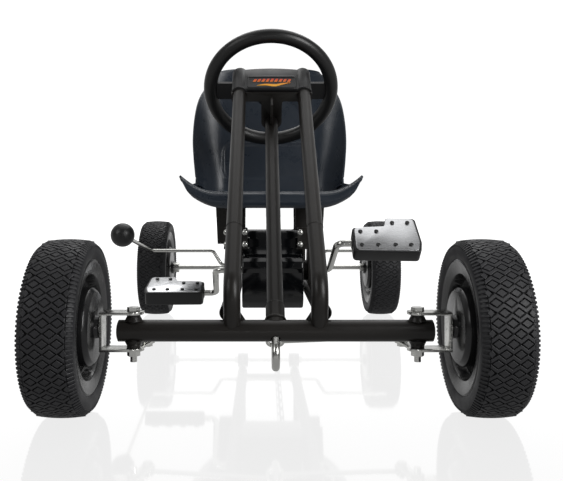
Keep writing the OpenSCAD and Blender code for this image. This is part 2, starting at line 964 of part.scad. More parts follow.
module fork(side) {
    foot = beam_z - fork_top - plate_t;
    color(zinc)
    on_side(side)
        difference() {
            union() {
                for (z = [beam_z + fork_top, foot]) {
                    translate([kingpin_x, front_y - fork_w / 2, z])
                        cube([fork_reach, fork_w, plate_t]);
                    translate([kingpin_x, front_y, z])
                        cylinder(d = fork_w + 1, h = plate_t);
                }
                translate([web_x, front_y - fork_w / 2, foot])
                    cube([plate_t, fork_w, 2 * (fork_top + plate_t)]);
                // steering arm, part of the lower plate
                translate([0, 0, foot + 0.3]) {
                    translate([kingpin_x, front_y, 0])
                        rotate(ackermann)
                            translate([-10, 0, 0])
                                cube([20, arm_len, plate_t - 0.6]);
                    translate([tongue[0], tongue[1], 0])
                        cylinder(r = 11, h = plate_t - 0.6);
                }
            }
            translate([kingpin_x, front_y, foot - eps])
                cylinder(d = kingpin_d, h = 2 * (fork_top + plate_t + eps));
            translate([tongue[0], tongue[1], foot - eps])
                cylinder(d = eye_pin_d, h = plate_t + 2 * eps);
            translate([web_x - eps, front_y, axle_z])
                bar_x(0, plate_t + 2 * eps, stub_d / 2);
        }
}

module kingpin(side) {
    top = beam_z + fork_top + plate_t;
    foot = beam_z - fork_top - plate_t;
    color(zinc)
    on_side(side)
        translate([kingpin_x, front_y, 0]) {
            translate([0, 0, top])
                hex(17, head_h);
            translate([0, 0, foot - nut_h - 9])
                cylinder(d = kingpin_d, h = top - foot + nut_h + 9);
            translate([0, 0, foot - nut_h])
                difference() {
                    hex(17, nut_h);
                    translate([0, 0, -eps])
                        cylinder(d = kingpin_d, h = nut_h + 2 * eps);
                }
            // bolt that carries the tie rod on the steering arm
            translate([tongue[0] - kingpin_x, tongue[1] - front_y, foot - 5])
                hex(13, 5);
            translate([tongue[0] - kingpin_x, tongue[1] - front_y, foot])
                cylinder(d = eye_pin_d, h = plate_t + 16);
        }
}

module stub_axle(side) {
    color(zinc)
    on_side(side)
        translate([0, front_y, axle_z]) {
            bar_x(web_x, front_track / 2 + tyre_w / 2 + 2, stub_d / 2);
            bar_x(web_x + plate_t, wheel_in - hub_out - gap, 11);
            translate([front_track / 2 + tyre_w / 2 - cup_floor + gap, 0, 0])
                rotate([0, 90, 0])
                    difference() {
                        hex(19, 8);
                        translate([0, 0, -eps])
                            cylinder(d = stub_d, h = 8 + 2 * eps);
                    }
        }
}

module tie_rod(side) {
    index = side == left ? 0 : 1;
    s = eye_s[index];
    outer_z = beam_z - fork_top + 6;
    a = [side * (eye_pin_d / 2 + eye_slack + 2),
        front_y + s * cos(column_angle) + steer_throw * sin(column_angle),
        beam_z + s * sin(column_angle) - steer_throw * cos(column_angle)];
    b = [side * (tongue[0] - 7), tongue[1], outer_z];
    color(zinc) {
        bar(a, b, rod_d);
        on_column(s)
            translate([0, steer_throw, -eye_t / 2])
                difference() {
                    cylinder(r = eye_pin_d / 2 + eye_slack + 4, h = eye_t);
                    translate([0, 0, -eps])
                        cylinder(r = eye_pin_d / 2 + eye_slack, h = eye_t + 2 * eps);
                }
        translate([side * tongue[0], tongue[1], outer_z - 5])
            difference() {
                cylinder(r = 9, h = 10);
                translate([0, 0, -eps])
                    cylinder(d = eye_pin_d + 2 * fit, h = 10 + 2 * eps);
            }
    }
}

// ---------- wheels ----------

// Tyre about X, its inner plane at x = 0
module tyre_solid() {
    rotate([0, 90, 0])
        rotate_extrude($fn = 96)
            polygon([
                [rim_r, 3], [rim_r + 8, 0], [axle_z - 9, 0], [axle_z - 1.5, 6], [axle_z, 14],
                [axle_z, tyre_w - 14], [axle_z - 1.5, tyre_w - 6], [axle_z - 9, tyre_w],
                [rim_r + 8, tyre_w], [rim_r, tyre_w - 3]]);
}

// Rim about X: stepped drum on the inner face, five pockets on the outer face
module rim_solid(bore_r) {
    lip = 78 / 100 * rim_r;
    rotate([0, 90, 0])
        difference() {
            rotate_extrude($fn = 96)
                polygon([
                    [bore_r, -hub_out], [17, -hub_out], [17, -2], [drum_r - 6, -2], [drum_r, 4],
                    [drum_r, 24], [lip - 4, 24], [lip, 6], [rim_r - 3, 2], [rim_r, 3],
                    [rim_r, tyre_w - 3], [rim_r - 3, tyre_w - 1], [rim_r - 9, tyre_w - 2],
                    [rim_r - 13, tyre_w - 26], [34, tyre_w - 22], [28, tyre_w - cup_floor],
                    [bore_r, tyre_w - cup_floor]]);
            for (i = [0 : 4])
                rotate(i * 72)
                    translate([(lip + 34) / 2 - 2, 0, 34])
                        cylinder(r = 13, h = tyre_w);
        }
}

module front_tyre(side) {
    color(rubber)
    on_side(side)
        translate([wheel_in, front_y, axle_z])
            tyre_solid();
}

module front_rim(side) {
    color(plastic_black)
    on_side(side)
        translate([wheel_in, front_y, axle_z])
            rim_solid(stub_d / 2 + fit);
}

module rear_tyre(side) {
    color(rubber)
    on_side(side)
        translate([rear_in, rear_y, axle_z])
            tyre_solid();
}

module rear_rim(side) {
    color(plastic_black)
    on_side(side)
        translate([rear_in, rear_y, axle_z])
            rim_solid(side == right ? axle_d / 2 : axle_d / 2 + fit);
}

// ---------- drive ----------

module crank() {
    c = [0, front_y + crank_y, crank_z];
    arm = crank_throw * [0, -cos(crank_angle), sin(crank_angle)];
    color(zinc)
        bent_rod([
            c - arm + [-pedal_x - spindle_len, 0, 0], c - arm + [-arm_x - 4, 0, 0], c + [-arm_x, 0, 0],
            c + [arm_x, 0, 0], c + arm + [arm_x + 4, 0, 0], c + arm + [pedal_x + spindle_len, 0, 0]],
            crank_d, crank_bend);
}

module chainring() {
    color("#3a3c3f")
        translate([chain_x - sprocket_t / 2, front_y + crank_y, crank_z])
            rotate([0, 90, 0])
                difference() {
                    union() {
                        sprocket_plate(chainring_teeth, ring_r, sprocket_t);
                        translate([0, 0, -4])
                            cylinder(r = 13, h = sprocket_t + 8);
                    }
                    translate([0, 0, -10])
                        cylinder(d = crank_d, h = 30);
                    for (i = [0 : 4])
                        rotate(i * 72)
                            translate([ring_r * 0.6, 0, -eps])
                                cylinder(r = 6, h = 8);
                }
}

// Outline of a pedal in its own plane: X outwards from the crank, Y across the foot
pedal_outline = [
    [0, 0], [pedal_w - 4, -2], [pedal_w, 20], [pedal_w - 5, pedal_depth], [pedal_w / 2 + 2, pedal_depth + 1],
    [pedal_w / 2 - 2, pedal_depth - step_depth], [0, pedal_depth - step_depth - 3]];

// Puts a pedal on its spindle with its tread tipped up from level by tip degrees
module at_pedal(side, tip) {
    fore = side == left ? 1 : -1;
    translate([side * pedal_x, front_y + crank_y - fore * crank_throw * cos(crank_angle),
        crank_z + fore * crank_throw * sin(crank_angle)])
        mirror([side == left ? 0 : 1, 0, 0])
            rotate([tip, 0, 0])
                translate([0, -(pedal_depth - step_depth) / 2, -pedal_t / 2])
                    children();
}

pedal_tip = [47, 18];   // how far each pedal hangs from level at rest, left then right

module pedal(side) {
    color(plastic_black)
    at_pedal(side, pedal_tip[side == left ? 0 : 1])
        difference() {
            linear_extrude(height = pedal_t)
                polygon(pedal_outline);
            translate([-eps, (pedal_depth - step_depth) / 2, pedal_t / 2])
                bar_x(0, spindle_len + 2 + eps, crank_d / 2 + fit);
        }
}

module pedal_plate(side) {
    t = 1.5;
    color("#b9bcc0")
    at_pedal(side, pedal_tip[side == left ? 0 : 1])
        translate([0, 0, pedal_t]) {
            difference() {
                linear_extrude(height = t)
                    polygon([for (p = pedal_outline)
                        [pedal_w / 2, pedal_depth / 2 - 4] + 0.93 * (p - [pedal_w / 2, pedal_depth / 2 - 4])]);
                pedal_stud_places()
                    cylinder(d = 7, h = 10, center = true);
            }
        }
}

module pedal_stud_places() {
    for (x = studs_x)
        for (y = [13, x > pedal_w / 2 ? pedal_depth - 12 : pedal_depth - step_depth - 14])
            translate([x, y, 0])
                children();
}

module rear_axle() {
    end = rear_track / 2 + tyre_w / 2 + 2;
    color(zinc)
    translate([0, rear_y, axle_z]) {
        bar_x(-end, end, axle_d / 2);
        // drive collar pinned against the driven wheel
        bar_x(-(rear_in - hub_out), -(rear_in - hub_out - 14), 14);
        bar_x(rail_x + 14 + gap, rail_x + 14 + gap + 8, 11);
        bar_x(-(rail_x + 14 + gap + 8), -(rail_x + 14 + gap), 11);
        // collar that keeps the free wheel out
        bar_x(rear_in - hub_out - gap - 8, rear_in - hub_out - gap, 11);
    }
}

module rear_sprocket() {
    color("#3a3c3f")
        translate([chain_x - sprocket_t / 2, rear_y, axle_z])
            rotate([0, 90, 0])
                difference() {
                    union() {
                        sprocket_plate(sprocket_teeth, sprocket_r, sprocket_t);
                        translate([0, 0, -8])
                            cylinder(r = 13, h = sprocket_t + 16);
                    }
                    translate([0, 0, -10])
                        cylinder(d = axle_d, h = 30);
                }
}

module rear_wheel_nuts() {
    color(zinc)
        both_sides()
            translate([rear_track / 2 + tyre_w / 2 - cup_floor + gap, rear_y, axle_z])
                rotate([0, 90, 0])
                    difference() {
                        hex(19, 8);
                        translate([0, 0, -eps])
                            cylinder(d = axle_d, h = 8 + 2 * eps);
                    }
}

// ---------- brake ----------

module brake_lever() {
    y = front_y + brake_y;
    color(zinc) {
        bent_rod([
            [bar_outer, y, brake_z], [bar_inner, y, brake_z], [pivot_x, y, rail_z], [-pivot_x, y, rail_z],
            [-bar_inner, y, brake_z], [-bar_outer, y, brake_z],
            [-knob_x, front_y + knob_y, knob_z]], brake_d, 12);
    }
}

module brake_knob() {
    tip = [-knob_x, front_y + knob_y, knob_z];
    back = unit([-bar_outer, front_y + brake_y, brake_z] - tip);
    color(plastic_black)
        difference() {
            union() {
                translate(tip - back * 8)
                    sphere(d = knob_d);
                bar(tip, tip + back * 26, 24);
            }
            bar(tip, tip + back * 60, brake_d);
        }
}

front_axle_beam();
lower_tube(left);  // lower_tube_left
lower_tube(right);  // lower_tube_right
upper_tube(left);  // upper_tube_left
upper_tube(right);  // upper_tube_right
column_tube();
column_bushes();
head_bracket();
head_cover();
head_badge();
rail(left);  // rail_left
rail(right);  // rail_right
rear_bracket(left);  // rear_bracket_left
rear_bracket(right);  // rear_bracket_right
rear_bearings();
crank_hanger(left);  // crank_hanger_left
crank_hanger(right);  // crank_hanger_right
hanger_bolts();
crank_bearings();
seat_bracket(left);  // seat_bracket_left
seat_bracket(right);  // seat_bracket_right
seat_bolts();
seat();
case_upper();
case_lower();
case_screws();
drive_chain();
kingpin_bushes();
brake_bushes();
steering_shaft();
steering_wheel();
steering_grip();
steering_cap();
fork(left);  // fork_left
fork(right);  // fork_right
kingpin(left);  // kingpin_left
kingpin(right);  // kingpin_right
stub_axle(left);  // stub_axle_left
stub_axle(right);  // stub_axle_right
tie_rod(left);  // tie_rod_left
tie_rod(right);  // tie_rod_right
front_tyre(left);  // front_tyre_left
front_tyre(right);  // front_tyre_right
front_rim(left);  // front_rim_left
front_rim(right);  // front_rim_right
crank();
chainring();
pedal(left);  // pedal_left
pedal(right);  // pedal_right
pedal_plate(left);  // pedal_plate_left
pedal_plate(right);  // pedal_plate_right
rear_axle();
rear_sprocket();
rear_wheel_nuts();
rear_tyre(left);  // rear_tyre_left
rear_tyre(right);  // rear_tyre_right
rear_rim(left);  // rear_rim_left
rear_rim(right);  // rear_rim_right
brake_lever();
brake_knob();
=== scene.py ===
import json
import math

import bmesh
import bpy
from mathutils import Matrix, Vector

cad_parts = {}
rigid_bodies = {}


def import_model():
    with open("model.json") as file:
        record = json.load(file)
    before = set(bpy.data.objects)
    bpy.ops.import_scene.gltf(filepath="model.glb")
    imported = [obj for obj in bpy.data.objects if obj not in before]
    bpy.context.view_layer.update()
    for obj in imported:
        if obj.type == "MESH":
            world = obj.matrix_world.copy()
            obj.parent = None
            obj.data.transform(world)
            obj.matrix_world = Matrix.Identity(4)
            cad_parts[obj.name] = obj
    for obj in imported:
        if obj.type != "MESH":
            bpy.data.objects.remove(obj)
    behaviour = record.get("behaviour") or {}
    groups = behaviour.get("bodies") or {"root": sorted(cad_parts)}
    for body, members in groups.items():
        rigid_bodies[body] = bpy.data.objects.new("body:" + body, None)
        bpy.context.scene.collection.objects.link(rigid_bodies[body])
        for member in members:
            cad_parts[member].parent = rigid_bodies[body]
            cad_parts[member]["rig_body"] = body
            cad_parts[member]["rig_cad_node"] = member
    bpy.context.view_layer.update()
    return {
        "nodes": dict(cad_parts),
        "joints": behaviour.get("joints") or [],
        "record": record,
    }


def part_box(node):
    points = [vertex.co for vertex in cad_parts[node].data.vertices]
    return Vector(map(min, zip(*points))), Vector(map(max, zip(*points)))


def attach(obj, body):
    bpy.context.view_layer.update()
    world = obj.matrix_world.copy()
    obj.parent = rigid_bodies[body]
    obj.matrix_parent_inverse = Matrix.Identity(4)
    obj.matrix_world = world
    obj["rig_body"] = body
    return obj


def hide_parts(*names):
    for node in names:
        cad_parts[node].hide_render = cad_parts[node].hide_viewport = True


bl_info = {
    "name": "Pedal Kart",
    "version": (1, 0, 0),
    "blender": (4, 5, 0),
    "location": "View3D > Sidebar > Kart",
    "description": "Dresses the frame of a pedal go kart: tyres, seat, cover, case, pedals and finishes",
    "category": "Add Mesh",
}

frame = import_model()
nodes = frame["nodes"]
joints = {j["name"]: j for j in frame["joints"]}
body_of = {node: body for body, held in frame["record"]["behaviour"]["bodies"].items() for node in held}
slot_of = {part["node"]: part["material_slot"] for part in frame["record"]["subparts"]}
SIDES = ("left", "right")
mm = 0.001

# The steering axis: Z up the column, Y back and down, origin in the beam
STEER = joints["steer"]
STEER_FOOT = Vector(STEER["pos_m"])
COLUMN_UP = Vector(STEER["axis"]).normalized()
COLUMN_BACK = COLUMN_UP.cross(Vector((1, 0, 0)))
COLUMN = Matrix.Translation(STEER_FOOT) @ Matrix((
    (1, COLUMN_BACK.x, COLUMN_UP.x),
    (0, COLUMN_BACK.y, COLUMN_UP.y),
    (0, COLUMN_BACK.z, COLUMN_UP.z))).to_4x4()
TYRE_LOW, TYRE_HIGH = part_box("front_tyre_left")
TYRE_R = (TYRE_HIGH.z - TYRE_LOW.z) / 2
TYRE_W = TYRE_HIGH.x - TYRE_LOW.x


def linear(hex_text):
    """A colour written as sRGB hex, as linear RGBA."""
    values = [int(hex_text[i:i + 2], 16) / 255 for i in (1, 3, 5)]
    return tuple(v / 12.92 if v <= 0.04045 else ((v + 0.055) / 1.055) ** 2.4 for v in values) + (1.0,)


def colour(hex_text, name, description):
    return bpy.props.FloatVectorProperty(
        name=name, description=description, subtype="COLOR", size=3, min=0, max=1,
        default=linear(hex_text)[:3])


def length(value, name, description, least=0.0, most=1.0):
    return bpy.props.FloatProperty(
        name=name, description=description, default=value, min=least, max=most,
        unit="LENGTH", precision=4)


class KartColours(bpy.types.PropertyGroup):
    tube: colour("#1E1C1A", "Tube paint", "Satin powder coat on the tubes")
    moulding: colour("#161617", "Mouldings", "Black polypropylene of the wheels, cover and pedals")
    case: colour("#07080A", "Drive case", "Polished ABS of the drive case")
    seat: colour("#262D36", "Seat", "Blow-moulded polyethylene of the seat")
    rubber: colour("#1C1C1F", "Rubber", "Solid rubber of the tyres")
    grip: colour("#131313", "Grip", "Foam on the steering wheel")
    zinc: colour("#D3D3CF", "Zinc", "Bright zinc plating")
    plate: colour("#D9DADC", "Pedal plate", "Brushed aluminium of the pedal plates")
    stripe_low: colour("#F2B21B", "Stripe, lower", "Lower colour of the printed stripes")
    stripe_high: colour("#D8322A", "Stripe, upper", "Upper colour of the printed stripes")


class KartSizes(bpy.types.PropertyGroup):
    tread_depth: length(3.6 * mm, "Tread depth", "Height of the tread blocks", 1 * mm, 6 * mm)
    tread_pitch: length(19 * mm, "Tread pitch", "Distance across the tyre between two points of a zigzag rib")
    tread_rows: bpy.props.IntProperty(
        name="Tread rows", description="Pairs of zigzag ribs around a tyre", default=30, min=16, max=48)
    seat_recess: length(4 * mm, "Seat recess", "Depth of the two recessed panels in the backrest")
    pedal_round: length(7 * mm, "Pedal corner", "Corner radius of a pedal")
    stud_d: length(7.6 * mm, "Pedal stud", "Diameter of the rubber studs on a pedal")
    badge_h: length(44 * mm, "Head panel", "Height of the printed head panel")


# ---------- modelling helpers ----------

def deselect():
    if bpy.context.object and bpy.context.object.mode != "OBJECT":
        bpy.ops.object.mode_set(mode="OBJECT")
    bpy.ops.object.select_all(action="DESELECT")


def use(part):
    """Makes part the only selected and active object."""
    deselect()
    part.select_set(True)
    bpy.context.view_layer.objects.active = part
    return part


def named(name):
    """Names the primitive that was just added."""
    part = bpy.context.active_object
    part.name = part.data.name = name
    return part


def edit(part):
    use(part)
    bpy.ops.object.mode_set(mode="EDIT")
    bpy.ops.mesh.select_all(action="SELECT")


def leave():
    bpy.ops.object.mode_set(mode="OBJECT")


def pick(part, test, kind="FACE"):
    """In edit mode, selects only the faces, edges or points that pass the test."""
    bpy.ops.mesh.select_mode(type=kind)
    bpy.ops.mesh.select_all(action="DESELECT")
    shape = bmesh.from_edit_mesh(part.data)
    items = {"FACE": shape.faces, "EDGE": shape.edges, "VERT": shape.verts}[kind]
    for item in items:
        if test(item):
            item.select_set(True)
    shape.select_flush_mode()
    bmesh.update_edit_mesh(part.data)


def centre(item):
    """Middle of a face or an edge."""
    return sum((v.co for v in item.verts), Vector()) / len(item.verts)


def bake_place(part):
    """Puts the piece's place into its mesh, so its object sits at the origin."""
    use(part)
    bpy.ops.object.transform_apply(location=True, rotation=True, scale=True)
    return part


def moved(part, matrix):
    part.matrix_world = matrix @ part.matrix_world
    bpy.context.view_layer.update()
    return bake_place(part)


def modify(part, kind, **settings):
    """Adds a modifier and applies it."""
    use(part)
    m = part.modifiers.new(kind.title(), kind)
    for key, value in settings.items():
        setattr(m, key, value)
    bpy.ops.object.modifier_apply(modifier=m.name)
    return part


def joined(parts, name):
    use(parts[0])
    for p in parts[1:]:
        p.select_set(True)
    if len(parts) > 1:
        bpy.ops.object.join()
    return named(name)


def copied(part, name):
    use(part)
    bpy.ops.object.duplicate()
    return named(name)


def smooth(part, degrees=35):
    use(part)
    bpy.ops.object.shade_smooth_by_angle(angle=math.radians(degrees))
    return part


def outward(part):
    edit(part)
    bpy.ops.mesh.remove_doubles(threshold=1e-6)
    bpy.ops.mesh.select_all(action="SELECT")
    bpy.ops.mesh.normals_make_consistent(inside=False)
    leave()
    return part


def drawn_in(part, test, inset, shift):
    """Insets the faces that pass the test and moves them by the shift, which leaves a chamfer."""
    edit(part)
    pick(part, test)
    bpy.ops.mesh.inset(thickness=inset, depth=0)
    bpy.ops.transform.translate(value=shift)
    leave()
    return part


def faces_front(face):
    return face.normal.y < -0.9


def faces_up(face):
    return face.normal.z > 0.9


def ring(name, major, minor, minor_segments=10):
    """A thin round bead about the Z axis."""
    bpy.ops.mesh.primitive_torus_add(
        major_radius=major, minor_radius=minor, major_segments=48, minor_segments=minor_segments)
    return named(name)


def line(name, points):
    """A chain of edges through points, drawn by extruding one point along."""
    bpy.ops.mesh.primitive_plane_add(size=0.001, location=(0, 0, 0))
    part = named(name)
    edit(part)
    bpy.ops.mesh.select_mode(type="VERT")
    bpy.ops.mesh.merge(type="CENTER")
    bpy.ops.transform.translate(value=points[0])
    for a, b in zip(points, points[1:]):
        bpy.ops.mesh.extrude_region_move(
            TRANSFORM_OT_translate={"value": Vector(b) - Vector(a)})
    leave()
    return part


def lathe(name, profile, steps):
    """Spins a profile of (x, radius) pairs around the X axis."""
    part = line(name, [(x, 0, r) for x, r in profile])
    edit(part)
    bpy.ops.mesh.spin(steps=steps, angle=math.tau, center=(0, 0, 0), axis=(1, 0, 0))
    leave()
    return outward(part)


def around(points, i):
    """The point before i, point i and the two after it, held at the list's ends."""
    return [Vector(points[min(max(k, 0), len(points) - 1)]) for k in (i - 1, i, i + 1, i + 2)]


def cubic(a, b, c, d, t):
    """A point of the smooth curve through four others, at the share t from b to c."""
    return 0.5 * (2 * b + (c - a) * t + (2 * a - 5 * b + 4 * c - d) * t * t
                  + (3 * b - a - 3 * c + d) * t ** 3)


def curve_through(points, steps=5):
    """Points along a smooth open curve through the given ones."""
    out = [cubic(*around(points, i), s / steps) for i in range(len(points) - 1) for s in range(steps)]
    return out + [Vector(points[-1])]


def rounded(points, radius, steps=4):
    """A closed outline in the XY plane whose corners are rounded; radius may differ per corner."""
    n, out = len(points), []
    for i, p in enumerate(points):
        p = Vector((*p[:2], 0))
        a = (Vector((*points[i - 1][:2], 0)) - p).normalized()
        b = (Vector((*points[(i + 1) % n][:2], 0)) - p).normalized()
        r = radius[i] if isinstance(radius, (list, tuple)) else radius
        half = a.angle(b) / 2
        if r <= 0 or half > math.radians(88):
            out.append(p)
            continue
        reach = r / math.tan(half)
        mid = p + (a + b).normalized() * (r / math.sin(half))
        start, end = p + a * reach - mid, p + b * reach - mid
        turn = start.angle(end)
        axis = start.cross(end).normalized()
        for s in range(steps + 1):
            out.append(mid + Matrix.Rotation(turn * s / steps, 3, axis) @ start)
    return out


def plate(name, outline, thickness, bevel=0.0, segments=2):
    """A flat piece with that outline, from z = 0 up to its thickness, with bevelled rims."""
    part = line(name, [tuple(p) for p in outline])
    edit(part)
    bpy.ops.mesh.edge_face_add()
    bpy.ops.mesh.select_all(action="SELECT")
    bpy.ops.mesh.extrude_region_move(TRANSFORM_OT_translate={"value": (0, 0, thickness)})
    bpy.ops.mesh.select_all(action="SELECT")
    bpy.ops.mesh.normals_make_consistent(inside=False)
    if bevel:
        pick(part, lambda e: abs(e.verts[0].co.z - e.verts[1].co.z) < 1e-6, "EDGE")
        bpy.ops.mesh.bevel(offset=bevel, segments=segments, profile=0.5, affect="EDGES")
    leave()
    return outward(part)


def softened(node, name, width):
    """A copy of a CAD node with its doubles merged and its edges rounded, to stand for the node."""
    part = copied(nodes[node], name)
    part.parent = None
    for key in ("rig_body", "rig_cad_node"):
        if key in part:
            del part[key]
    edit(part)
    bpy.ops.mesh.remove_doubles(threshold=2e-6)
    bpy.ops.mesh.dissolve_limited(angle_limit=math.radians(0.8))
    leave()
    use(part)
    if part.data.has_custom_normals:
        bpy.ops.mesh.customdata_custom_splitnormals_clear()
    modify(part, "BEVEL", width=width, segments=2, limit_method="ANGLE",
           angle_limit=math.radians(35), harden_normals=False)
    return smooth(part, 30)


def column_span(node):
    """The lowest and highest corner of a CAD node's box along the column's own axes."""
    local = COLUMN.inverted()
    corners = [local @ v.co for v in nodes[node].data.vertices]
    return [Vector([end(c[i] for c in corners) for i in range(3)]) for end in (min, max)]


def dress(part, body, slot, *replaced):
    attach(part, body)
    if replaced:
        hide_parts(*replaced)
    return part


def coat(part, material):
    part.data.materials.clear()
    part.data.materials.append(material)
    return part


# ---------- finishes ----------

def add_node(owner, kind, settings=None, inputs=None):
    """Adds a shader node. An input that is a (node, output) pair is linked, any other is a value."""
    tree = owner.node_tree
    made = tree.nodes.new(kind)
    for key, value in (settings or {}).items():
        setattr(made, key, value)
    for key, value in (inputs or {}).items():
        if isinstance(value, tuple) and isinstance(value[0], bpy.types.Node):
            tree.links.new(value[0].outputs[value[1]], made.inputs[key])
        else:
            made.inputs[key].default_value = value
    return made


def new_material(name):
    made = bpy.data.materials.new(name)
    made.use_nodes = True
    made.node_tree.nodes.clear()
    return made


def close(material, shader):
    add_node(material, "ShaderNodeOutputMaterial", {}, {"Surface": (shader, "BSDF")})
    return material


def mottled(material, place, base, share, size_mm):
    """The base colour, darker and lighter by a share in clouds of that size."""
    noise = add_node(material, "ShaderNodeTexNoise", {}, {
        "Vector": (place, "Object"), "Scale": 1000 / size_mm, "Detail": 4.0, "Roughness": 0.6})
    low = tuple(v * (1 - share) for v in base[:3]) + (1,)
    high = tuple(min(1, v * (1 + share)) for v in base[:3]) + (1,)
    return add_node(material, "ShaderNodeMix", {"data_type": "RGBA"}, {
        "Factor": (noise, "Fac"), 6: low, 7: high})


def coated(name, base, rough, spread, grain_mm, depth_mm, mottle, specular=0.5):
    """A dielectric skin: mottled colour, roughness that varies by spread, and a fine grain."""
    m = new_material(name)
    place = add_node(m, "ShaderNodeTexCoord")
    tint = mottled(m, place, base, mottle, 60)
    wear = add_node(m, "ShaderNodeTexNoise", {}, {
        "Vector": (place, "Object"), "Scale": 1000 / 35, "Detail": 6.0, "Roughness": 0.65})
    gloss = add_node(m, "ShaderNodeMapRange", {}, {
        "Value": (wear, "Fac"), "From Min": 0.3, "From Max": 0.7,
        "To Min": rough - spread, "To Max": rough + spread})
    grain = add_node(m, "ShaderNodeTexNoise", {}, {
        "Vector": (place, "Object"), "Scale": 1000 / grain_mm, "Detail": 3.0, "Roughness": 0.5})
    bump = add_node(m, "ShaderNodeBump", {}, {
        "Height": (grain, "Fac"), "Strength": 0.5, "Distance": depth_mm * mm})
    shader = add_node(m, "ShaderNodeBsdfPrincipled", {}, {
        "Base Color": (tint, 2), "Roughness": (gloss, "Result"), "Normal": (bump, "Normal"),
        "IOR": 1.5, "Specular IOR Level": specular})
    return close(m, shader)


def metal(name, base, rough, spread, streak, depth_mm):
    """A plated or rolled metal: streaks along one axis, in mm across and along them."""
    m = new_material(name)
    place = add_node(m, "ShaderNodeTexCoord")
    turn = add_node(m, "ShaderNodeMapping", {}, {
        "Vector": (place, "Object"), "Scale": tuple(1000 / s for s in streak)})
    lines = add_node(m, "ShaderNodeTexNoise", {}, {
        "Vector": (turn, "Vector"), "Scale": 1.0, "Detail": 5.0, "Roughness": 0.6})
    tint = mottled(m, place, base, 0.12, 40)
    gloss = add_node(m, "ShaderNodeMapRange", {}, {
        "Value": (lines, "Fac"), "From Min": 0.3, "From Max": 0.7,
        "To Min": rough - spread, "To Max": rough + spread})
    bump = add_node(m, "ShaderNodeBump", {}, {
        "Height": (lines, "Fac"), "Strength": 0.5, "Distance": depth_mm * mm})
    shader = add_node(m, "ShaderNodeBsdfPrincipled", {}, {
        "Base Color": (tint, 2), "Metallic": 1.0, "Roughness": (gloss, "Result"),
        "Normal": (bump, "Normal")})
    return close(m, shader)


def printed(name, low, high, z_low, z_high):
    """Screen print under a clear film: the ink runs from one colour to the other with height."""
    m = new_material(name)
    place = add_node(m, "ShaderNodeTexCoord")
    parts = add_node(m, "ShaderNodeSeparateXYZ", {}, {"Vector": (place, "Object")})
    share = add_node(m, "ShaderNodeMapRange", {}, {
        "Value": (parts, "Z"), "From Min": z_low, "From Max": z_high})
    ink = add_node(m, "ShaderNodeMix", {"data_type": "RGBA"}, {
        "Factor": (share, "Result"), 6: low, 7: high})
    dots = add_node(m, "ShaderNodeTexNoise", {}, {
        "Vector": (place, "Object"), "Scale": 1000 / 1.2, "Detail": 2.0})
    gloss = add_node(m, "ShaderNodeMapRange", {}, {
        "Value": (dots, "Fac"), "To Min": 0.22, "To Max": 0.36})
    shader = add_node(m, "ShaderNodeBsdfPrincipled", {}, {
        "Base Color": (ink, 2), "Roughness": (gloss, "Result"), "IOR": 1.5})
    return close(m, shader)


FINISH = {}


# The record's material slots, and the finish that each one gets
SLOT_FINISH = {
    "frame_paint": "tube", "black_plastic": "moulding", "gloss_case": "case", "seat_plastic": "seat",
    "zinc_steel": "zinc", "dark_steel": "steel", "nylon": "nylon", "tyre_rubber": "rubber",
    "foam_grip": "grip", "pedal_metal": "plate", "badge": "moulding"}


def opaque(rgb):
    return tuple(rgb) + (1.0,)


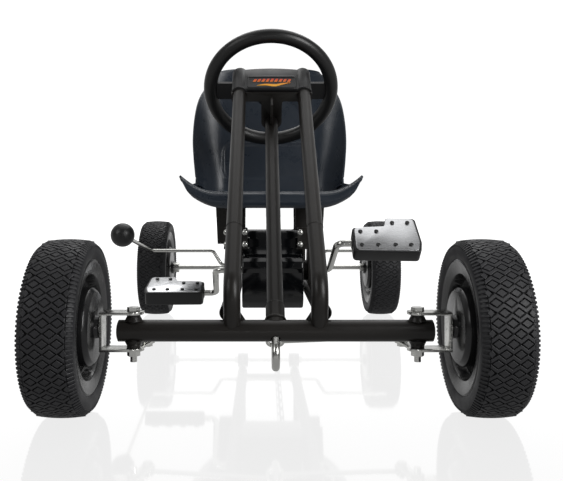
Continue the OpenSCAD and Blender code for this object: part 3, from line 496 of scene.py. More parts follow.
class KART_OT_finishes(bpy.types.Operator):
    """Mixes the finishes and gives one to each part of the frame"""
    bl_idname = "kart.finishes"
    bl_label = "Finishes"

    def execute(self, context):
        c = context.scene.kart_colours
        # Powder coat: satin, with the orange peel of a baked powder
        FINISH["tube"] = coated(
            "Powder coat, satin black", opaque(c.tube), rough=0.36, spread=0.05,
            grain_mm=2.2, depth_mm=0.05, mottle=0.15, specular=0.32)
        # Injection-moulded polypropylene: a fine spark-eroded grain that scatters the light
        FINISH["moulding"] = coated(
            "Polypropylene, moulded black", opaque(c.moulding), rough=0.42, spread=0.07,
            grain_mm=1.1, depth_mm=0.05, mottle=0.2)
        # The wheels: the same plastic from a polished mould, so its flanges catch the light
        FINISH["rim"] = coated(
            "Polypropylene, polished wheel", opaque(c.moulding), rough=0.24, spread=0.05,
            grain_mm=3, depth_mm=0.03, mottle=0.15)
        # The floor of the tread's grooves: rubber painted near black, as painted shade where the light hardly
        # reaches
        FINISH["groove"] = coated(
            "Rubber, groove floor", linear("#0B0B0C"), rough=0.6, spread=0.05,
            grain_mm=1.4, depth_mm=0.06, mottle=0.2, specular=0.25)
        # Polished ABS: near mirror, with a faint waviness from the mould
        FINISH["case"] = coated(
            "ABS, polished black", opaque(c.case), rough=0.09, spread=0.03,
            grain_mm=18, depth_mm=0.12, mottle=0.1)
        # Blow-moulded polyethylene: soft sheen, slight ripples
        FINISH["seat"] = coated(
            "Polyethylene, blow-moulded", opaque(c.seat), rough=0.3, spread=0.05,
            grain_mm=1.6, depth_mm=0.045, mottle=0.12)
        # Solid rubber: dull, a little dusty in the clouds
        FINISH["rubber"] = coated(
            "Rubber, moulded tyre", opaque(c.rubber), rough=0.56, spread=0.1,
            grain_mm=1.4, depth_mm=0.12, mottle=0.35)
        # Closed-cell foam: dull skin with small pores
        FINISH["grip"] = coated(
            "Nitrile foam, grip", opaque(c.grip), rough=0.38, spread=0.06,
            grain_mm=0.9, depth_mm=0.08, mottle=0.2)
        # Nylon: off-white, slightly waxy
        FINISH["nylon"] = coated(
            "Nylon, natural", linear("#E6E3DA"), rough=0.4, spread=0.05,
            grain_mm=2, depth_mm=0.03, mottle=0.05)
        # Zinc plate: bright, with the drawn lines of the rod underneath
        FINISH["zinc"] = metal(
            "Zinc plate on drawn steel", opaque(c.zinc), rough=0.22, spread=0.07,
            streak=(9, 9, 1.4), depth_mm=0.03)
        # Brushed aluminium: lines across the pedal
        FINISH["plate"] = metal(
            "Aluminium, brushed", opaque(c.plate), rough=0.3, spread=0.07,
            streak=(22, 0.9, 0.9), depth_mm=0.02)
        # Oiled steel: darker and rougher than the plated parts
        FINISH["steel"] = metal(
            "Steel, oiled", linear("#6E7073"), rough=0.38, spread=0.1,
            streak=(3, 3, 3), depth_mm=0.05)
        for name, part in nodes.items():
            coat(part, FINISH[SLOT_FINISH[slot_of[name]]])
        return {"FINISHED"}


# ---------- tyres ----------

NEAR = 0.05 * mm            # how near a point of the tread has to be to count as on a line
CHAMFER = 0.35 * mm         # height of the chamfer on a tread block
RIB_W = 5.4 * mm            # width of a zigzag rib, along the tread
RIB_BENDS = 6               # half pitches that a rib crosses
ZIGZAG = 0.13               # how far a rib's bends reach, as a share of a row
DIAMOND_L = 5.4 * mm        # half length of a diamond, along the tread
DIAMOND_W = 7.2 * mm        # its half width, across the tread
EDGE_NARROWING = 0.62       # how much narrower a diamond at the shoulder is
EDGE_DRAW_IN = 0.96         # and how much nearer the middle it sits
CROWN = 2 * mm              # how far the tread falls away towards the shoulders
SHOULDER_W = 9 * mm         # width of a shoulder, from the sidewall in
WALL_W = 12 * mm            # what counts as sidewall, from the outside in
LUGS = 4                    # shoulder lugs on each side of a row
LUG_SIZE = (3.6 * mm, 2.4 * mm, 11 * mm)
LUG_LEAN = math.radians(38)


def tread_rib(sizes, pitch_x, half_row):
    """A zigzag rib across the tread. The second of a row mirrors the first."""
    step = sizes.tread_pitch / 2
    bpy.ops.mesh.primitive_grid_add(
        x_subdivisions=1, y_subdivisions=RIB_BENDS, size=1, rotation=(math.pi / 2, 0, 0))
    rib = named("Tread rib")
    rib.scale = (RIB_W, RIB_BENDS * step, 1)
    bake_place(rib)
    edit(rib)
    for bend in range(RIB_BENDS + 1):
        pick(rib, lambda v, z=(bend - RIB_BENDS / 2) * step: abs(v.co.z - z) < NEAR, "VERT")
        side = 1 if (bend + half_row) % 2 else -1
        bpy.ops.transform.translate(value=(side * ZIGZAG * pitch_x, 0, 0))
    bpy.ops.mesh.select_mode(type="FACE")
    bpy.ops.mesh.select_all(action="SELECT")
    bpy.ops.mesh.extrude_region_move(TRANSFORM_OT_translate={"value": (0, -sizes.tread_depth, 0)})
    leave()
    drawn_in(rib, lambda f: abs(centre(f).y + sizes.tread_depth) < NEAR, 0.6 * mm, (0, -CHAMFER, 0))
    moved(rib, Matrix.Translation(((0.25 + 0.5 * half_row) * pitch_x, 0, 0)))
    return outward(rib)


def tread_diamond(sizes, pitch_x, half_row, column):
    """A pointed block in a wide cell between two ribs. Those at the shoulders are narrower."""
    at_edge = abs(column) == RIB_BENDS / 2
    bpy.ops.mesh.primitive_cylinder_add(vertices=4, radius=1, depth=1, rotation=(math.pi / 2, 0, 0))
    block = named("Tread diamond")
    block.scale = (DIAMOND_L, DIAMOND_W * (EDGE_NARROWING if at_edge else 1), sizes.tread_depth)
    bake_place(block)
    drawn_in(block, faces_front, 0.5 * mm, (0, -CHAMFER, 0))
    z = column * sizes.tread_pitch / 2 * (EDGE_DRAW_IN if at_edge else 1)
    return moved(block, Matrix.Translation((0.5 * (1 + half_row) * pitch_x, -sizes.tread_depth / 2, z)))


def tread_row(sizes, pitch_x):
    """One row of the tread laid flat: X around the tyre, Z across it, blocks towards -Y."""
    reach = RIB_BENDS // 2
    blocks = []
    for half_row in (0, 1):
        blocks.append(tread_rib(sizes, pitch_x, half_row))
        for column in range(-reach, reach + 1):
            if (column + half_row) % 2:
                blocks.append(tread_diamond(sizes, pitch_x, half_row, column))
    return joined(blocks, "Tread blocks")


def shoulder_lugs(pitch_x, half):
    """The lugs that run from the tread down each shoulder."""
    lugs = []
    for k in range(LUGS):
        for side in (-1, 1):
            bpy.ops.mesh.primitive_cube_add(size=1)
            lug = named("Shoulder lug")
            lug.scale = LUG_SIZE
            bake_place(lug)
            drawn_in(lug, faces_front, 0.7 * mm, (0, -0.5 * mm, 0))
            place = Matrix.Translation(((k + 0.5) / LUGS * pitch_x, 3.2 * mm, side * (half - 4.9 * mm)))
            lugs.append(moved(lug, place @ Matrix.Rotation(-side * LUG_LEAN, 4, "X")))
    return lugs


def carcass(half, floor_r):
    """The tyre under its tread, from the bore on the rim out to the floor of the grooves."""
    # the bore sits on the rim, whose outer radius is that of its box
    rim_low, rim_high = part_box("front_rim_left")
    bore, r = (rim_high.z - rim_low.z) / 2, TYRE_R
    profile = [
        (half - 3 * mm, bore), (half - 1.2 * mm, bore + 4 * mm), (half, bore + 9 * mm),
        (half - 0.4 * mm, r - 13 * mm), (half - 1.6 * mm, r - 10 * mm), (half - 4.4 * mm, r - 7.4 * mm),
        (half - SHOULDER_W, r - 5.9 * mm), (half - 18 * mm, floor_r - 0.9 * mm), (0, floor_r)]
    part = lathe("Carcass", profile + [(-x, radius) for x, radius in reversed(profile[:-1])], 96)
    edit(part)
    pick(part, lambda e: e.is_boundary, "EDGE")
    bpy.ops.mesh.bridge_edge_loops()
    leave()
    return outward(part)


def rubber_walls(whole, half):
    """Gives the sidewalls the same dull rubber as the blocks, so the painted groove shade stays on the
    tread's floor.
    """
    coats = list(whole.data.materials)
    groove, rubber = coats.index(FINISH["groove"]), coats.index(FINISH["rubber"])
    for f in whole.data.polygons:
        if f.material_index == groove and abs(f.center.x) > half - WALL_W:
            f.material_index = rubber


def tyre(sizes):
    """A whole tyre about the X axis, its middle at the origin."""
    half = TYRE_W / 2
    floor_r = TYRE_R - (sizes.tread_depth + CHAMFER)
    under = carcass(half, floor_r)
    pitch_x = math.tau * floor_r / sizes.tread_rows
    blocks = tread_row(sizes, pitch_x)
    for v in blocks.data.vertices:
        v.co.y += CROWN * min(1, (v.co.z / (half - SHOULDER_W)) ** 2)
    tread = joined([blocks] + shoulder_lugs(pitch_x, half), "Tread")
    # sunk a little, so that no block stands free of the carcass
    moved(tread, Matrix.Translation((0, 0.5 * mm, 0)))
    modify(tread, "ARRAY", count=sizes.tread_rows, use_relative_offset=False,
           use_constant_offset=True, constant_offset_displace=(pitch_x, 0, 0))
    # the strip is longer than one turn by what its last row reaches over, so it turns a little further
    turn = math.tau * tread.dimensions.x / (sizes.tread_rows * pitch_x)
    modify(tread, "SIMPLE_DEFORM", deform_method="BEND", deform_axis="Z", angle=turn)
    moved(tread, Matrix.Rotation(math.pi / 2, 4, "Y") @ Matrix.Translation((0, -floor_r, 0)))
    # the carcass gets the near-black rubber: painted shade on the floors of the grooves
    coat(under, FINISH["groove"])
    coat(tread, FINISH["rubber"])
    whole = joined([under, tread], "Tyre")
    rubber_walls(whole, half)
    return smooth(whole, 28)


class KART_OT_tyres(bpy.types.Operator):
    """Moulds one tyre with its tread and puts a copy on each wheel"""
    bl_idname = "kart.tyres"
    bl_label = "Tyres"

    def execute(self, context):
        first = tyre(context.scene.kart_sizes)
        wheels = (("front_tyre_left", "front_wheel_left"), ("front_tyre_right", "front_wheel_right"),
                  ("rear_tyre_left", "rear_wheel_left"), ("rear_tyre_right", "rear_drive"))
        for node, body in wheels:
            low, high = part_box(node)
            piece = copied(first, node.replace("_tyre_", "_treaded_tyre_"))
            moved(piece, Matrix.Translation((low + high) / 2))
            dress(piece, body, "tyre_rubber", node)
        bpy.data.objects.remove(first)
        return {"FINISHED"}


# ---------- rims, brackets and other rounded parts ----------

class KART_OT_mouldings(bpy.types.Operator):
    """Rounds the edges of the rims, forks, brackets and small mouldings"""
    bl_idname = "kart.mouldings"
    bl_label = "Rims and brackets"

    def execute(self, context):
        jobs = []
        for kind, width, finish in (
                ("front_rim", 1.3 * mm, "rim"), ("rear_rim", 1.3 * mm, "rim"), ("fork", 1.1 * mm, "zinc"),
                ("seat_bracket", 0.7 * mm, "tube"), ("crank_hanger", 0.7 * mm, "tube"),
                ("rear_bracket", 0.7 * mm, "tube")):
            jobs += [(f"{kind}_{side}", width, finish) for side in SIDES]
        jobs += [("steering_cap", 1.2 * mm, "moulding"), ("head_bracket", 0.6 * mm, "tube")]
        for node, width, finish in jobs:
            part = softened(node, node + "_rounded", width)
            coat(part, FINISH[finish])
            dress(part, body_of[node], slot_of[node], node)
        return {"FINISHED"}


# ---------- seat ----------

# Side view of the seat's face, one row a line across: (mm behind the lip, mm over the underside,
# share of the half width, mm that the edge rises)
SEAT_ROWS = [
    (6, -2, 0.86, 24), (-1, 5, 0.91, 28), (-3, 13, 0.94, 30), (0, 24, 0.97, 34), (8, 30, 0.985, 35),
    (18, 33, 1.0, 36), (60, 27, 1.0, 38), (110, 15, 0.98, 42), (155, 6, 0.96, 48), (220, 5, 0.95, 52),
    (270, 6, 0.94, 56), (292, 17, 0.93, 58), (301, 36, 0.93, 58), (307, 60, 0.93, 58), (313, 110, 0.96, 52),
    (319, 160, 0.98, 44), (326, 215, 0.97, 34), (332, 262, 0.93, 24), (337, 298, 0.84, 16),
    (342, 336, 0.68, 10), (349, 348, 0.46, 6)]
PAN_ROWS = 11               # rows before the backrest starts
FLAT_SHARE = 0.6            # share of the half width before the edge starts to rise
EDGE_SHARE = 0.95           # share of a row's rise that the edge gets
LIP_BACK = 3 * mm           # the face starts this far behind the front of the box
SEAT_WALL = 5 * mm
SEAT_GRID = (120, 190)      # cells across and along the face
# The recessed back panels: (middle over the underside, half width, half height, corner radius)
LOWER_PANEL = (113 * mm, 116 * mm, 44 * mm, 22 * mm)
UPPER_PANEL = (224 * mm, 82 * mm, 44 * mm, 40 * mm)
PANEL_STEP = 7 * mm         # width of the slope round a panel


def seat_face(u, v, origin, half_w):
    """A point of the seat's face: u runs from the lip to the top, v from -1 to 1 across."""
    i = min(int(u), len(SEAT_ROWS) - 2)
    a, b, c, d = around(SEAT_ROWS, i)
    row = cubic(a, b, c, d, u - i)
    slope = (c - b).xy.normalized()
    # the edge rises straight up along the pan, and forwards along the backrest
    up_share = min(1, max(0, (u - PAN_ROWS + 1.5) / 2))
    rise = Vector((0, -slope.y * up_share, 1 - up_share + slope.x * up_share))
    rise.normalize()
    e = max(0, abs(v) - FLAT_SHARE) / (1 - FLAT_SHARE)
    return (Vector((v * row[2] * half_w, row[0] * mm, row[1] * mm))
            + rise * row[3] * mm * e * e * EDGE_SHARE + Vector((0, origin.y + LIP_BACK, origin.z)))


def step_in(distance, width):
    """Smooth step from 0 to 1 as the distance passes from minus to plus half the width."""
    t = min(1, max(0, distance / width + 0.5))
    return t * t * (3 - 2 * t)


def rounded_box(x, z, middle_z, half_x, half_z, r):
    """Signed distance to an upright rounded rectangle centred on x = 0, negative inside."""
    qx, qz = abs(x) - half_x + r, abs(z - middle_z) - half_z + r
    return math.hypot(max(qx, 0), max(qz, 0)) + min(max(qx, qz), 0) - r


class KART_OT_seat(bpy.types.Operator):
    """Blow-moulds the seat shell with its two recessed back panels and rounded rim"""
    bl_idname = "kart.seat"
    bl_label = "Seat"

    def execute(self, context):
        low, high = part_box("seat")
        half_w = (high.x - low.x) / 2
        # the seat rests on its brackets' tops
        origin = Vector((0, low.y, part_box("seat_bracket_left")[1].z))
        across, along = SEAT_GRID
        bpy.ops.mesh.primitive_grid_add(x_subdivisions=across, y_subdivisions=along, size=2)
        seat = named("seat_shell")
        recess = context.scene.kart_sizes.seat_recess
        for v in seat.data.vertices:
            u = (v.co.y + 1) / 2 * (len(SEAT_ROWS) - 1)
            p = seat_face(u, max(-1, min(1, v.co.x)), origin, half_w)
            if u > PAN_ROWS + 0.5:
                inside = [-rounded_box(p.x, p.z - origin.z, *panel) for panel in (LOWER_PANEL, UPPER_PANEL)]
                p.y += recess * max(step_in(distance, PANEL_STEP) for distance in inside)
            v.co = p
        modify(seat, "SOLIDIFY", thickness=SEAT_WALL, offset=-1)
        modify(seat, "BEVEL", width=1.9 * mm, segments=3, limit_method="ANGLE", angle_limit=math.radians(60))
        smooth(seat, 50)
        coat(seat, FINISH["seat"])
        dress(seat, "frame", "seat_plastic", "seat")
        return {"FINISHED"}


# ---------- steering head cover ----------

SOCKET_WALL = 3 * mm        # wall of a socket round its tube
SOCKET_DOME = 5 * mm        # height left free for a socket's stepped top
SHELL_BACK = 12.5 * mm      # the shell's back face, behind the front of the sockets
PANEL_BACK = 9.5 * mm       # and that of the frame round the panel
PANEL_FOOT = 1.5 * mm       # the frame's foot over the bottom of the cover
ARCH_STEPS = 6              # points of half the arch on top of the shell
PRINT_Z = 7.2 * mm          # the print's height over the back of that frame
INK = 0.25 * mm             # thickness of the print
BARS = 9
BAR_PITCH = 8.6 * mm


def cover_socket(radius, x, y, bottom, top):
    """A socket round one tube, with a stepped top, and the lip where it meets the tube."""
    bpy.ops.mesh.primitive_cylinder_add(vertices=48, radius=radius, depth=top - bottom - SOCKET_DOME)
    socket = named("Socket")
    drawn_in(socket, faces_up, 4 * mm, (0, 0, 3 * mm))
    drawn_in(socket, faces_up, 5 * mm, (0, 0, 1 * mm))
    modify(socket, "BEVEL", width=1.6 * mm, segments=3, limit_method="ANGLE", angle_limit=math.radians(20))
    moved(socket, Matrix.Translation((x, y, (bottom + top - SOCKET_DOME) / 2)))
    lip = ring("Socket lip", radius - 0.6 * mm, 1.5 * mm)
    moved(lip, Matrix.Translation((x, y, bottom + 1.6 * mm)))
    return [socket, lip]


def cover_shell(half_w, side_h, place):
    """The front shell between the sockets, arched on top."""
    steps = [k / ARCH_STEPS for k in range(ARCH_STEPS, -ARCH_STEPS - 1, -1)]
    arch = [Vector((half_w * t, side_h + 6.5 * mm * (1 - t ** 2), 0)) for t in steps]
    foot = [Vector((-half_w, 1 * mm, 0)), Vector((half_w, 1 * mm, 0))]
    return moved(plate("Shell", foot + arch, 9 * mm, 1.8 * mm, 3), place)


def panel_frame(half_w, h, place):
    """The frame round the printed panel, proud of the shell, with the panel sunk in it."""
    outline = rounded([(-half_w, 0), (half_w, 0), (half_w, h), (-half_w, h)],
                      [7 * mm, 7 * mm, 2 * mm, 2 * mm], 5)
    rim = plate("Panel frame", outline, 8 * mm, 1.6 * mm, 3)
    edit(rim)
    pick(rim, lambda f: f.normal.z > 0.95 and f.calc_area() > 1e-4)
    bpy.ops.mesh.inset(thickness=2.2 * mm, depth=0)
    bpy.ops.mesh.extrude_region_move(TRANSFORM_OT_translate={"value": (0, 0, -1.1 * mm)})
    leave()
    return moved(rim, place)


def stripes(h):
    """The print: slanted bars over a tapering swoosh."""
    prints = []
    for k in range(BARS):
        off = k - BARS // 2
        x, foot = off * BAR_PITCH, h * 0.5
        top = foot + (11.5 - 0.5 * abs(off)) * mm
        outline = rounded([(x - 3.6 * mm, foot), (x + 1.8 * mm, foot), (x + 5.4 * mm, top), (x, top)],
                          0.7 * mm, 3)
        prints.append(moved(plate("Bar", outline, INK), Matrix.Translation((0, 0, PRINT_Z))))
    top_edge = curve_through([(-30 * mm, h * 0.2, 0), (-12 * mm, h * 0.33, 0), (8 * mm, h * 0.3, 0),
                              (22 * mm, h * 0.4, 0), (38 * mm, h * 0.44, 0)])
    low_edge = curve_through([(38 * mm, h * 0.43, 0), (22 * mm, h * 0.27, 0), (6 * mm, h * 0.12, 0),
                              (-12 * mm, h * 0.2, 0), (-30 * mm, h * 0.19, 0)])
    swoosh = plate("Swoosh", top_edge + low_edge, INK)
    prints.append(moved(swoosh, Matrix.Translation((0, 0, PRINT_Z))))
    return joined(prints, "printed_stripes")


class KART_OT_head(bpy.types.Operator):
    """Moulds the steering head cover and prints its panel"""
    bl_idname = "kart.head"
    bl_label = "Head cover"

    def execute(self, context):
        low, high = column_span("head_cover")
        bottom, top, front = low.z, high.z, low.y
        # the tubes lean back but not sideways, so their width in X is their diameter
        tube_low, tube_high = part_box("upper_tube_left")
        socket_r = (tube_high.x - tube_low.x) / 2 + SOCKET_WALL
        tube_x = high.x - socket_r
        # flat pieces are drawn lying down: X across, Y up the cover, Z to the front
        stood_up = Matrix.Rotation(math.pi / 2, 4, "X")
        panel_place = Matrix.Translation((0, front + PANEL_BACK, bottom + PANEL_FOOT)) @ stood_up
        shell_place = Matrix.Translation((0, front + SHELL_BACK, bottom)) @ stood_up
        h = context.scene.kart_sizes.badge_h
        pieces = []
        for side in (-1, 1):
            pieces += cover_socket(socket_r, side * tube_x, front + socket_r, bottom, top)
        pieces.append(cover_shell(tube_x - 2 * mm, top - bottom - 8 * mm, shell_place))
        pieces.append(panel_frame(tube_x - socket_r + 1 * mm, h, panel_place))
        cover = joined(pieces, "moulded_head_cover")
        moved(cover, COLUMN)
        smooth(cover, 35)
        coat(cover, FINISH["moulding"])
        dress(cover, "frame", "black_plastic", "head_cover")

        art = moved(stripes(h), COLUMN @ panel_place)
        heights = [v.co.z for v in art.data.vertices]
        c = context.scene.kart_colours
        coat(art, printed("Screen print, stripes", opaque(c.stripe_low), opaque(c.stripe_high),
                          min(heights), max(heights)))
        dress(art, "frame", "badge", "head_badge")
        return {"FINISHED"}


# ---------- drive case ----------

def upper_case(y, z, back, up):
    """Side view of the case's upper half from its seam: a low nose, a step back, and the tall back."""
    corners = [
        (y + 4 * mm, z), (y, z + 9 * mm), (y + 3 * mm, z + 20 * mm), (y + 12 * mm, z + 27 * mm),
        (y + 26 * mm, z + 33 * mm), (y + 36 * mm, z + 44 * mm), (y + 37 * mm, up - 14 * mm),
        (y + 48 * mm, up), (back - 12 * mm, up), (back, up - 14 * mm), (back, z)]
    radii = [1, 7, 9, 9, 4, 6, 10, 8, 10, 10, 0]
    return rounded(corners, [r * mm for r in radii], 5)


def lower_case(y, z, back, up):
    """Side view of the case's lower half, with a round chin."""
    corners = [(y, up), (y, z + 14 * mm), (y + 14 * mm, z), (back, z), (back, up)]
    return rounded(corners, [0, 10 * mm, 10 * mm, 4 * mm, 0], 5)


class KART_OT_case(bpy.types.Operator):
    """Moulds the two halves of the polished drive case"""
    bl_idname = "kart.case"
    bl_label = "Drive case"

    def execute(self, context):
        for node, drawn in (("case_upper", upper_case), ("case_lower", lower_case)):
            low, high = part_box(node)
            part = plate(f"polished_{node}", drawn(low.y, low.z, high.y, high.z), high.x - low.x, 3.2 * mm, 3)
            # the outline was drawn in side view: X is the kart's Y, Y is its Z
            moved(part, Matrix(((0, 0, 1, low.x), (1, 0, 0, 0), (0, 1, 0, 0), (0, 0, 0, 1))))
            smooth(part, 35)
            coat(part, FINISH["case"])
            dress(part, "frame", "gloss_case", node)
        return {"FINISHED"}


# ---------- pedals ----------

PEDAL_TIP = {"left": math.radians(47), "right": math.radians(18)}     # how each hangs on its crank end
PEDAL_NOTCH = 18 * mm       # how much shorter the pedal is at the crank
TREAD_SHARE = 0.93          # size of the metal plate, as a share of the pedal
STUD_COLUMNS = (14 * mm, 42 * mm, 72 * mm, 99 * mm)
INNER_STUDS = (13 * mm, 43 * mm)
OUTER_STUDS = (13 * mm, 63 * mm)
OUTER_FROM = 60 * mm        # where the longer part of the pedal starts


def pedal_stud(d, place):
    """A rubber stud with a chamfered top."""
    bpy.ops.mesh.primitive_cylinder_add(vertices=20, radius=d / 2, depth=3.2 * mm)
    stud = drawn_in(named("Stud"), faces_up, 1.1 * mm, (0, 0, 0.9 * mm))
    return moved(stud, Matrix.Translation(place))


def pedal_boss(place):
    """The moulded boss that takes the end of the crank."""
    bpy.ops.mesh.primitive_cylinder_add(
        vertices=32, radius=10.5 * mm, depth=5 * mm, rotation=(0, math.pi / 2, 0))
    boss = named("Boss")
    modify(boss, "BEVEL", width=1.2 * mm, segments=2, limit_method="ANGLE")
    bake_place(boss)
    return moved(boss, Matrix.Translation(place))


def pedal(sizes, w, depth, t):
    """A pedal lying flat, its crank side at x = 0, and its metal tread plate."""
    short = depth - PEDAL_NOTCH
    outline = [(0, 0), (w - 4 * mm, -2 * mm), (w, 20 * mm), (w - 5 * mm, depth),
               (w / 2 + 2 * mm, depth + 1 * mm), (w / 2 - 2 * mm, short), (0, short - 3 * mm)]
    r = sizes.pedal_round
    radii = [r, r, 20 * mm, r, r * 0.8, r * 0.6, r]
    block = plate("Pedal body", rounded(outline, radii, 4), t, 2.2 * mm, 3)
    middle = Vector((w / 2, depth / 2 - 4 * mm, 0))
    sheet = [middle + (Vector((*p, 0)) - middle) * TREAD_SHARE for p in outline]
    tread = plate("Pedal tread", rounded(sheet, radii, 4), 1.5 * mm, 0.5 * mm, 2)
    moved(tread, Matrix.Translation((0, 0, t - 0.1 * mm)))
    studs = [pedal_stud(sizes.stud_d, (x, y, t + 1.2 * mm))
             for x in STUD_COLUMNS for y in (OUTER_STUDS if x > OUTER_FROM else INNER_STUDS)]
    boss = pedal_boss((1.2 * mm, short / 2, t / 2))
    return joined([block, boss] + studs, "Pedal"), tread


class KART_OT_pedals(bpy.types.Operator):
    """Moulds the two pedals with their metal tread plates and studs"""
    bl_idname = "kart.pedals"
    bl_label = "Pedals"

    def execute(self, context):
        for word, side, body in (("left", 1, "pedal_l"), ("right", -1, "pedal_r")):
            spin = Vector(joints[f"pedal_{word}_spin"]["pos_m"])
            low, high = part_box(f"pedal_{word}")
            inner = low.x if side == 1 else -high.x
            turn = Matrix.Rotation(PEDAL_TIP[word], 4, "X")
            # the CAD pedal laid flat, to take its depth and thickness
            points = [turn.inverted() @ (v.co - spin) for v in nodes[f"pedal_{word}"].data.vertices]
            y0, z0 = min(p.y for p in points), min(p.z for p in points)
            t = max(p.z for p in points) - z0
            depth = max(p.y for p in points) - y0 - 3 * mm
            block, tread = pedal(context.scene.kart_sizes, high.x - low.x, depth, t)
            place = (Matrix.Translation(Vector((side * inner, spin.y, spin.z))) @ turn
                     @ Matrix.Diagonal((side, 1, 1, 1)) @ Matrix.Translation((0, y0 + 2 * mm, z0)))
            for piece, name, finish, slot, node in (
                    (block, "moulded_pedal", "moulding", "black_plastic", "pedal"),
                    (tread, "brushed_plate", "plate", "pedal_metal", "pedal_plate")):
                piece.name = piece.data.name = f"{name}_{word}"
                moved(piece, place)
                outward(piece)
                smooth(piece, 35)
                coat(piece, FINISH[finish])
                dress(piece, body, slot, f"{node}_{word}")
        return {"FINISHED"}


# ---------- small parts on the frame ----------

BEAM_CAP = (3 * mm, 14.6 * mm, 14.6 * mm)   # half length and radii of a beam end cap
# Weld beads round the column: (name, height up the column, ring radius, bead radius)
COLUMN_BEADS = (
    ("Column bead", 17.5 * mm, 14.7 * mm, 2.1 * mm),
    ("Collar bead", 46 * mm, 13.2 * mm, 1.6 * mm))


class KART_OT_details(bpy.types.Operator):
    """Adds the weld beads, the tube seams and the beam's end caps"""
    bl_idname = "kart.details"
    bl_label = "Frame details"

    def execute(self, context):
        beads = []
        beam_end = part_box("front_axle_beam")[1].x
        tube_low, tube_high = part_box("upper_tube_left")
        tube_r = (tube_high.x - tube_low.x) / 2
        tube_x = (tube_high.x + tube_low.x) / 2
        low, high = column_span("upper_tube_left")
        for side in (-1, 1):
            # swaged rim where the upper tube slides on
            seam = ring("Seam", tube_r - 0.15 * mm, 0.9 * mm, 8)
            foot = Matrix.Translation((side * tube_x, (low.y + high.y) / 2, low.z))
            beads.append(moved(seam, COLUMN @ foot))
            # domed cap on each end of the beam, painted with it
            bpy.ops.mesh.primitive_uv_sphere_add(segments=32, ring_count=12, radius=1)
            cap = named("End cap")
            cap.scale = BEAM_CAP
            bake_place(cap)
            beads.append(moved(cap, Matrix.Translation((side * beam_end, STEER_FOOT.y, STEER_FOOT.z))))
        for name, height, major, minor in COLUMN_BEADS:
            beads.append(moved(ring(name, major, minor), COLUMN @ Matrix.Translation((0, 0, height))))
        part = joined(beads, "weld_beads")
        smooth(part, 60)
        coat(part, FINISH["tube"])
        dress(part, "frame", "frame_paint")
        return {"FINISHED"}


# ---------- stage ----------

FILM_MM = 36
LENS_MM = 44.5428
# The frame's middle against the lens's axis, as shares of the frame's width
SHIFT = (0.03739, -0.07034)
CAMERA = (-0.0224, -1.491, 0.316)
# Softboxes: (name, place, what it faces, size, power in watts). The leaning tubes mirror what is
# straight above, so the overheads are large and dim. The two low panes put a faint light on the case.
SOFTBOXES = (
    ("Fill, left", (-1.9, -1.7, 1.6), (0, 0, 0.3), (1.0, 1.4), 12),
    ("Key, right", (1.5, -1.8, 1.1), (0, 0, 0.3), (0.9, 1.3), 34),
    ("Overhead", (0, 0.3, 2.3), (0, 0.3, 0.2), (2.4, 1.8), 12),
    ("Overhead, back", (0, 1.6, 2.2), (0, 0.1, 0.3), (2.2, 0.8), 14),
    ("Window pane", (-0.06, -2.6, 0.12), (-0.06, 0, 0.12), (0.11, 0.1), 0.45),
    ("Window pane", (0.16, -2.6, 0.12), (0.16, 0, 0.12), (0.11, 0.1), 0.45))


def aim_camera(scene):
    """A level camera low in front of the kart."""
    eye = bpy.data.cameras.new("Camera")
    eye.sensor_width = FILM_MM
    eye.lens = LENS_MM
    eye.shift_x, eye.shift_y = SHIFT
    eye.clip_start, eye.clip_end = 0.05, 60
    camera = bpy.data.objects.new("Camera", eye)
    camera.location = CAMERA
    camera.rotation_euler = (math.pi / 2, 0, 0)
    scene.collection.objects.link(camera)
    scene.camera = camera


def studio_floor():
    """Lacquered floor: near white, faintly mirrored under the wheels."""
    deselect()
    bpy.ops.mesh.primitive_plane_add(size=24)
    floor = named("floor")
    m = new_material("Studio floor, lacquered")
    # the kart mirrors a dimmer floor than the one that is seen
    seen_by = add_node(m, "ShaderNodeLightPath")
    glow = add_node(m, "ShaderNodeMapRange", {}, {
        "Value": (seen_by, "Is Camera Ray"), "To Min": 0.32, "To Max": 0.82})
    shader = add_node(m, "ShaderNodeBsdfPrincipled", {}, {
        "Base Color": linear("#6A6A6A"), "Roughness": 0.05, "IOR": 1.65,
        "Emission Color": (1, 1, 1, 1), "Emission Strength": (glow, "Result")})
    close(m, shader)
    coat(floor, m)
    return floor


def studio_world(scene):
    """White where the camera sees it, and for the light a room that is darker in front of the kart."""
    world = bpy.data.worlds.new("Studio")
    scene.world = world
    world.use_nodes = True
    world.node_tree.nodes.clear()
    place = add_node(world, "ShaderNodeTexCoord")
    parts = add_node(world, "ShaderNodeSeparateXYZ", {}, {"Vector": (place, "Generated")})
    ramp = add_node(world, "ShaderNodeMapRange", {}, {
        "Value": (parts, "Y"), "From Min": -0.2, "From Max": 0.9, "To Min": 0.14, "To Max": 0.85})
    lit = add_node(world, "ShaderNodeBackground", {}, {"Strength": (ramp, "Result")})
    seen = add_node(world, "ShaderNodeBackground", {}, {"Color": (1, 1, 1, 1), "Strength": 1.05})
    path = add_node(world, "ShaderNodeLightPath")
    mix = add_node(world, "ShaderNodeMixShader", {}, {
        0: (path, "Is Camera Ray"), 1: (lit, "Background"), 2: (seen, "Background")})
    add_node(world, "ShaderNodeOutputWorld", {}, {"Surface": (mix, "Shader")})


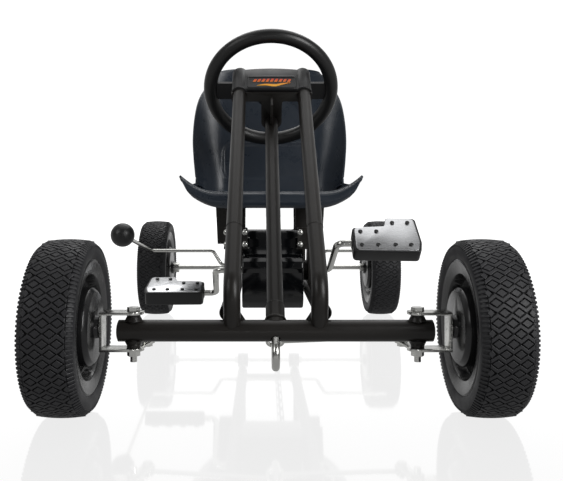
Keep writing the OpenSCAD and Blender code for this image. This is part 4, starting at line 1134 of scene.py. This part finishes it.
def softbox(scene, name, place, target, size, power, lights_only):
    light = bpy.data.lights.new(name, "AREA")
    light.shape = "RECTANGLE"
    light.size, light.size_y = size
    light.energy = power
    box = bpy.data.objects.new(name, light)
    box.location = place
    box.rotation_euler = (Vector(target) - Vector(place)).to_track_quat("-Z", "Y").to_euler()
    box.light_linking.receiver_collection = lights_only
    scene.collection.objects.link(box)


class KART_OT_stage(bpy.types.Operator):
    """Sets the pale floor, the soft lights and the camera"""
    bl_idname = "kart.stage"
    bl_label = "Stage"

    def execute(self, context):
        scene = context.scene
        scene.view_settings.view_transform = "Standard"
        aim_camera(scene)
        floor = studio_floor()
        # the softboxes light everything but the floor, which would mirror them as bright squares
        all_but_floor = bpy.data.collections.new("Not lit by softboxes")
        all_but_floor.objects.link(floor)
        all_but_floor.collection_objects[0].light_linking.link_state = "EXCLUDE"
        studio_world(scene)
        for values in SOFTBOXES:
            softbox(scene, *values, all_but_floor)
        return {"FINISHED"}


class KART_PT_sidebar(bpy.types.Panel):
    """Lists the kart's pieces"""
    bl_label = "Pedal kart"
    bl_space_type = "VIEW_3D"
    bl_region_type = "UI"
    bl_category = "Kart"

    def draw(self, context):
        box = self.layout.box()
        box.label(text="Sizes")
        for key in KartSizes.__annotations__:
            box.prop(context.scene.kart_sizes, key)
        box = self.layout.box()
        box.label(text="Colours")
        for key in KartColours.__annotations__:
            box.prop(context.scene.kart_colours, key)
        for step in STEPS:
            self.layout.operator(step.bl_idname)


STEPS = (KART_OT_stage, KART_OT_finishes, KART_OT_tyres, KART_OT_mouldings, KART_OT_seat,
         KART_OT_head, KART_OT_case, KART_OT_pedals, KART_OT_details)
CLASSES = (KartColours, KartSizes, *STEPS, KART_PT_sidebar)


def register():
    for c in CLASSES:
        bpy.utils.register_class(c)
    bpy.types.Scene.kart_colours = bpy.props.PointerProperty(type=KartColours)
    bpy.types.Scene.kart_sizes = bpy.props.PointerProperty(type=KartSizes)


def unregister():
    del bpy.types.Scene.kart_sizes
    del bpy.types.Scene.kart_colours
    for c in reversed(CLASSES):
        bpy.utils.unregister_class(c)


def main():
    register()
    deselect()
    for step in STEPS:
        group, call = step.bl_idname.split(".")
        getattr(getattr(bpy.ops, group), call)()


if __name__ == "__main__":
    main()
